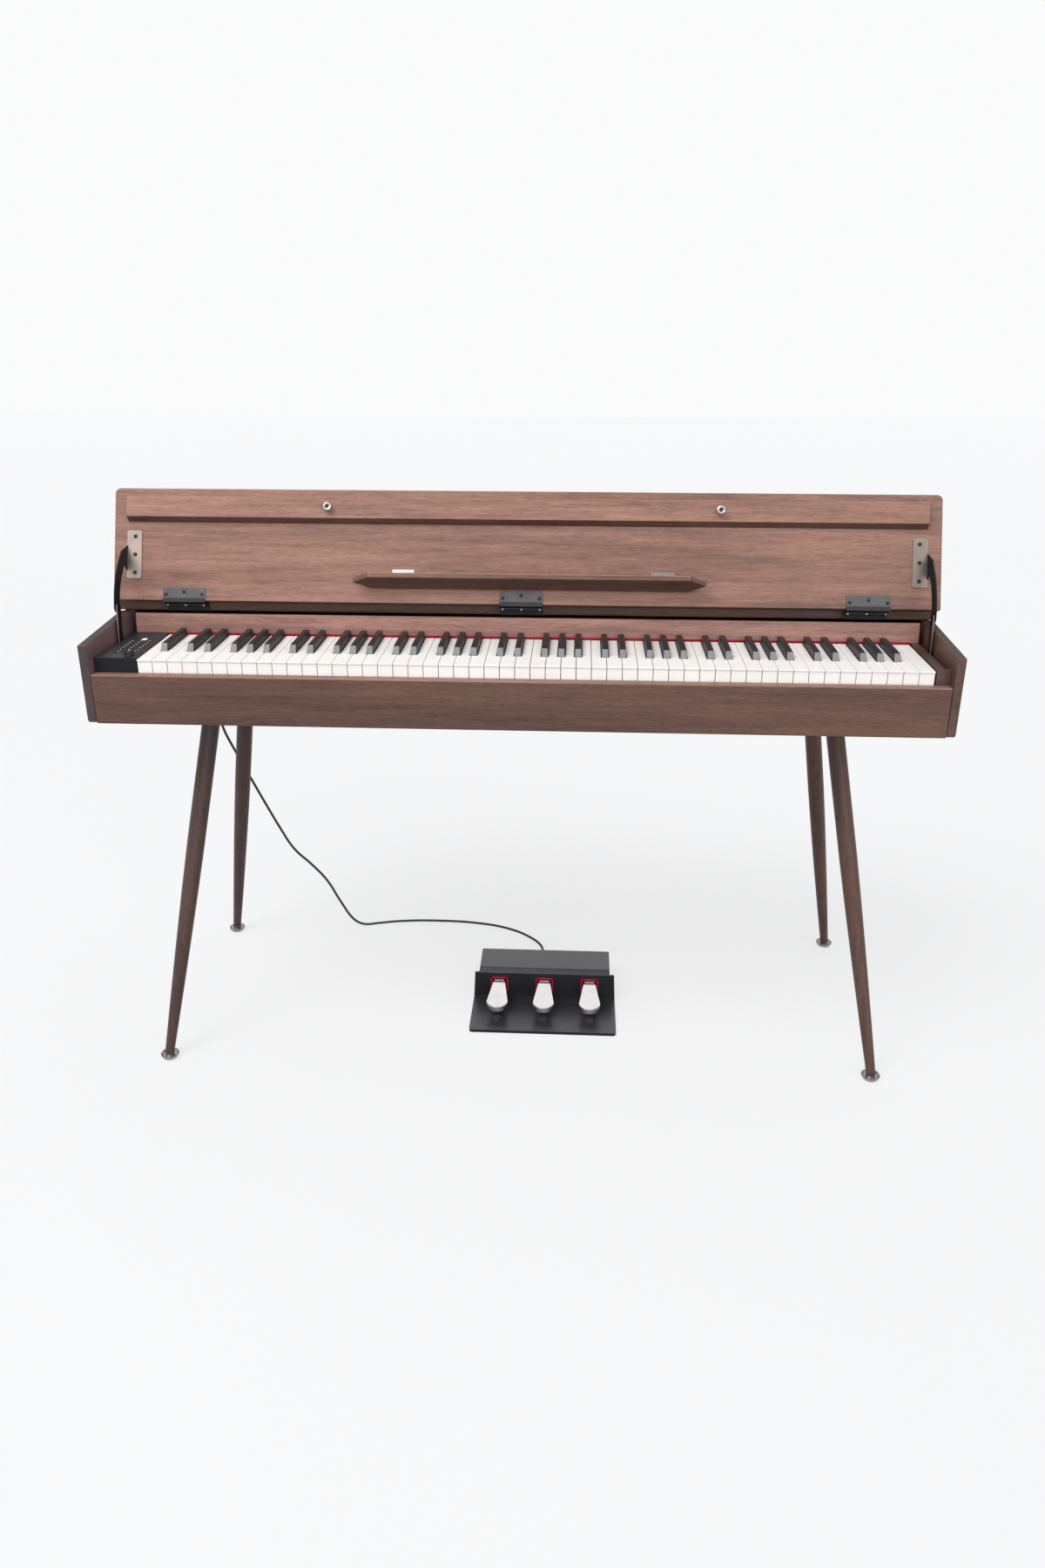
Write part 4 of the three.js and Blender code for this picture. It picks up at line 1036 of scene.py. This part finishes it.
class PIANO_OT_controls(bpy.types.Operator):
    """Makes the control panel, its buttons, display and volume knob"""

    bl_idname = "piano.controls"
    bl_label = "Controls"

    CAP = (
        (0.0, 0.0), (7.4, 0.0), (7.4, 1.0), (6.8, 1.6), (6.5, 6.6), (5.9, 7.6), (4.9, 7.9),
        (4.2, 7.4), (0.0, 7.4),
    )
    # Rows and columns of the painted button highlights, their first place and pitch
    MARK_ROWS, MARK_COLUMNS = 7, (-1, 0, 1)
    MARK_X, MARK_PITCH_X = -621.2, 14.07
    MARK_Y, MARK_PITCH_Y = KEY_FRONT + 37.0, 10.5

    def execute(self, context):
        glossy = finish("control_panel_plastic")
        # Painted shade: the block's front face gets a darker, matt copy of its plastic
        refine("control_panel", "control_block", glossy, 0.5 * MM,
               coats=[(toward(FRONT, 0.8), finish("matt_black_plastic"))])
        refine("button_comb", "button_caps", finish("black_rubber"), 0.35 * MM)
        self.add_volume()
        self.add_display(glossy)
        self.add_marks()
        return {"FINISHED"}

    def add_volume(self):
        """The volume knob with its pointer mark"""
        low, high = box_mm("volume_knob")
        x, y = (low.x + high.x) / 2, (low.y + high.y) / 2
        cap = turned(self.CAP, 14, standing(x, y, low.z))
        settle(cap, "volume_cap", "volume_knob", finish("black_painted_steel"),
               ("volume_knob",), 20.0)
        mark = block((x - 0.4, y + 1.5, high.z - 0.9), (x + 0.4, y + 5.8, high.z - 0.05))
        settle(mark, "volume_mark", "volume_knob", finish("pale_marks"))

    def add_display(self, glossy):
        """The lit window over its frame"""
        for name, start, end, height, radius, material, slot in (
            ("display_window", (-620.5, 105), (-612.5, 116), 0.5, 0.2, finish("display_glow"), "white_keys"),
            ("display_frame", (-623, 102.6), (-610, 118.4), 0.3, 0.1, glossy, "chassis"),
        ):
            low = (start[0], KEY_FRONT + start[1], PANEL_TOP)
            high = (end[0], KEY_FRONT + end[1], PANEL_TOP + height)
            settle(block(low, high, radius), name, "cabinet", material)

    def add_marks(self):
        """Pale patches ahead of the buttons, painted highlights that stand for light on the button tops"""
        marks = []
        for row in range(self.MARK_ROWS):
            for column in self.MARK_COLUMNS:
                x = self.MARK_X + column * self.MARK_PITCH_X
                y = self.MARK_Y + row * self.MARK_PITCH_Y
                marks.append(block((x - 3.0, y, PANEL_TOP), (x + 3.0, y + 3.0, PANEL_TOP + 0.12)))
        settle(together(marks), "button_marks", "cabinet", finish("pale_marks"))


class PIANO_OT_legs(bpy.types.Operator):
    """Makes the four tapered legs, their plates and the chrome glides"""

    bl_idname = "piano.legs"
    bl_label = "Legs"

    # Share of the leg's length from its head, and its radius there
    TAPER = (
        (0.0, 15.0), (0.4, 15.0), (0.52, 14.3), (0.64, 13.15), (0.75, 11.8), (0.86, 10.25), (1.0, 8.0),
    )
    HEAD_X, HEAD_Z, FOOT_Z = 518.5, 635.2, 12.0
    CUT_TOP, CUT_FOOT = 632.7, 12.3
    PLATE = ((0.0, 632.8), (39.2, 632.8), (40.0, 633.4), (40.0, 637.2), (39.4, 637.7), (0.0, 637.7))
    PLATE_SCREW_RADIUS = 31
    GLIDE = (
        (0.0, 0.0), (9.0, 0.0), (13.0, 1.5), (15.5, 5.5), (16.0, 8.5), (15.2, 8.7), (12.5, 5.5),
        (8.0, 4.5), (7.6, 8.0), (7.4, 12.0), (0.0, 12.0),
    )

    def execute(self, context):
        for row, head_y, foot_x, foot_y in (("front", -90, 620.5, -228), ("rear", 115, 628.5, 231)):
            for side, sign in SIDES:
                head = (sign * self.HEAD_X, head_y, self.HEAD_Z)
                foot = (sign * foot_x, foot_y, self.FOOT_Z)
                self.add_leg(row, side, Vector(mm(*head)), Vector(mm(*foot)))
                self.add_plate(row, side, *head[:2])
                node = f"foot_{row}_{side}"
                settle(turned(self.GLIDE, 40, standing(*foot[:2])), f"glide_{row}_{side}", node,
                       finish("glide_chrome"), (node,))
        return {"FINISHED"}

    def add_leg(self, row, side, head, foot):
        way = foot - head
        length = way.length / MM
        profile = [(0.0, 0.0)] + [(radius, share * length) for share, radius in self.TAPER] + [(0.0, length)]
        leg = turned(profile, 48, facing(head, way))
        cut(leg, (0, 0, self.CUT_TOP), UP)
        cut(leg, (0, 0, self.CUT_FOOT), -UP)
        lean = tuple(way.rotation_difference(-UP).to_euler())
        # Painted light: the left legs are a darker, greyer copy of the veneer than the right ones, for how
        # light falls on each side
        tone, cool = (0.30, 0.2) if side == "left" else (0.38, 0.0)
        wood = veneer(f"leg_{row}_{side}", tone, grain=ALONG_Z, turn=lean, coat=0.15, cool=cool)
        node = f"leg_{row}_{side}"
        settle(leg, f"tapered_{node}", "cabinet", wood, (node,))

    def add_plate(self, row, side, x, y):
        """The round plate at the leg's head, with four screws"""
        parts = [turned(self.PLATE, 48, standing(x, y))]
        for quarter in range(4):
            angle = math.tau * (quarter + 0.5) / 4
            spot = mm(x + self.PLATE_SCREW_RADIUS * math.cos(angle),
                      y + self.PLATE_SCREW_RADIUS * math.sin(angle), self.PLATE[0][1])
            parts.append(turned(screw(3.6, 1.3), 20, facing(spot, (0.0001, 0, -1))))
        settle(together(parts), f"leg_plate_{row}_{side}", "cabinet", finish("black_painted_steel"))


class PIANO_OT_pedals(bpy.types.Operator):
    """Makes the pedal unit on the floor"""

    bl_idname = "piano.pedals"
    bl_label = "Pedals"

    MIDDLE, PITCH = 44, 87
    WALL_HALF = 134
    # The blades are shortened ahead of this line by a share
    NECK_Y, SHORTENING_SHARE = -14, 0.09
    LIP_Y, LIP_DROP = -87, 4.0
    BUMPER_Y = -86
    BUMPER = ((0.0, 6.0), (8.5, 6.0), (8.5, 10.2), (7.4, 11.4), (0.0, 11.6))
    # Half widths, and places of the felt frame's front and back
    FELT_OUTER, FELT_INNER = 17, 13.6
    FELT_FRONT, FELT_BACK = -10.6, -9.1

    def execute(self, context):
        self.add_housing()
        for name, step in (("left", -1), ("middle", 0), ("right", 1)):
            x = self.MIDDLE + step * self.PITCH
            node = f"pedal_{name}"
            self.add_blade(name, node)
            self.add_felt(name, x)
            # The pedal's neck, a band of darker chrome painted as the shade in the slot's mouth
            collar = block((x - 8.6, -15.5, 44.6), (x + 8.6, -9.6, 46.5), 0.3)
            settle(collar, f"pedal_collar_{name}", node, finish("chrome_rim"))
            bumper = turned(self.BUMPER, 32, standing(x, self.BUMPER_Y))
            settle(bumper, f"pedal_bumper_{name}", "cabinet", finish("black_rubber"))
        return {"FINISHED"}

    def add_housing(self):
        """The box and its plate, with the front wall's top corners drawn in"""
        housing = cad_copy("pedal_box")
        for vert in housing.verts:
            side = vert.co.x - self.MIDDLE * MM
            if vert.co.z > 50 * MM and abs(side) > 130 * MM:
                vert.co.x = self.MIDDLE * MM + math.copysign(self.WALL_HALF * MM, side)
        round_edges(housing, 4.0 * MM, 4, 28.0, self.on_top)
        round_edges(housing, 0.7 * MM, 2, 50.0)
        # Painted shade: the housing's front faces get a darker, matt copy of its plastic
        settle_for("pedal_box", housing, "pedal_housing", housing_plastic(),
                   [(toward(FRONT, 0.8), finish("matt_black_plastic"))])

    def on_top(self, edge):
        x, y, z = (edge.verts[0].co + edge.verts[1].co) / 2 / MM
        return z > 54 and abs(x - self.MIDDLE) < 125.6 and y > -8.5

    def add_blade(self, name, node):
        """A chrome pedal with a deep lip at its tip"""
        blade = cad_copy(node)
        neck = self.NECK_Y * MM
        for vert in blade.verts:
            if vert.co.y < neck:
                vert.co.y += (neck - vert.co.y) * self.SHORTENING_SHARE
        lip = blade.copy()
        cut(lip, (0, self.LIP_Y, 0), -FRONT)
        bmesh.ops.translate(lip, vec=mm(0, -0.05, -self.LIP_DROP), verts=lip.verts)
        round_edges(lip, 0.8 * MM, 3, 50.0)
        round_edges(blade, 1.2 * MM, 4, 40.0)
        # Painted shade: the front and lower faces take a darker chrome for the dark housing plate they face
        settle_for(node, together([blade, lip]), f"pedal_blade_{name}", finish("chrome_plate"), [
            (lambda face: face.normal.y < -0.3 or face.normal.z < 0.1, finish("chrome_rim")),
        ])

    def add_felt(self, name, x):
        """A frame of felt over three sides of the pedal's slot"""
        low, bar, high = 20, 46.6, 49.5
        parts = [
            block((x + start, self.FELT_FRONT, bottom), (x + end, self.FELT_BACK, high), 0.5)
            for start, end, bottom in (
                (-self.FELT_OUTER, -self.FELT_INNER, low),
                (self.FELT_INNER, self.FELT_OUTER, low),
                (-self.FELT_OUTER, self.FELT_OUTER, bar),
            )
        ]
        settle(together(parts), f"pedal_felt_{name}", "cabinet", finish("red_felt"))


class PIANO_PT_sidebar(bpy.types.Panel):
    """Lists the steps that build the piano, with their settings"""

    bl_idname = "PIANO_PT_sidebar"
    bl_label = "Digital Piano"
    bl_space_type = "VIEW_3D"
    bl_region_type = "UI"
    bl_category = "Piano"

    def draw(self, context):
        layout = self.layout
        for operator in OPERATORS:
            layout.operator(operator.bl_idname)
        for group in ("wood", "edges", "finish"):
            box = layout.box()
            values = getattr(context.scene.piano, group)
            for key in values.__annotations__:
                box.prop(values, key)


OPERATORS = (
    PIANO_OT_stage, PIANO_OT_cable, PIANO_OT_cabinet, PIANO_OT_lid, PIANO_OT_hinges,
    PIANO_OT_stays, PIANO_OT_keyboard, PIANO_OT_controls, PIANO_OT_legs, PIANO_OT_pedals,
)
CLASSES = (WoodSettings, EdgeSettings, FinishSettings, PianoSettings, *OPERATORS, PIANO_PT_sidebar)


def register():
    for cls in CLASSES:
        bpy.utils.register_class(cls)
    bpy.types.Scene.piano = PointerProperty(type=PianoSettings)


def unregister():
    del bpy.types.Scene.piano
    for cls in reversed(CLASSES):
        bpy.utils.unregister_class(cls)


def main():
    register()
    for operator in OPERATORS:
        group, name = operator.bl_idname.split(".")
        getattr(getattr(bpy.ops, group), name)()


if __name__ == "__main__":
    main()
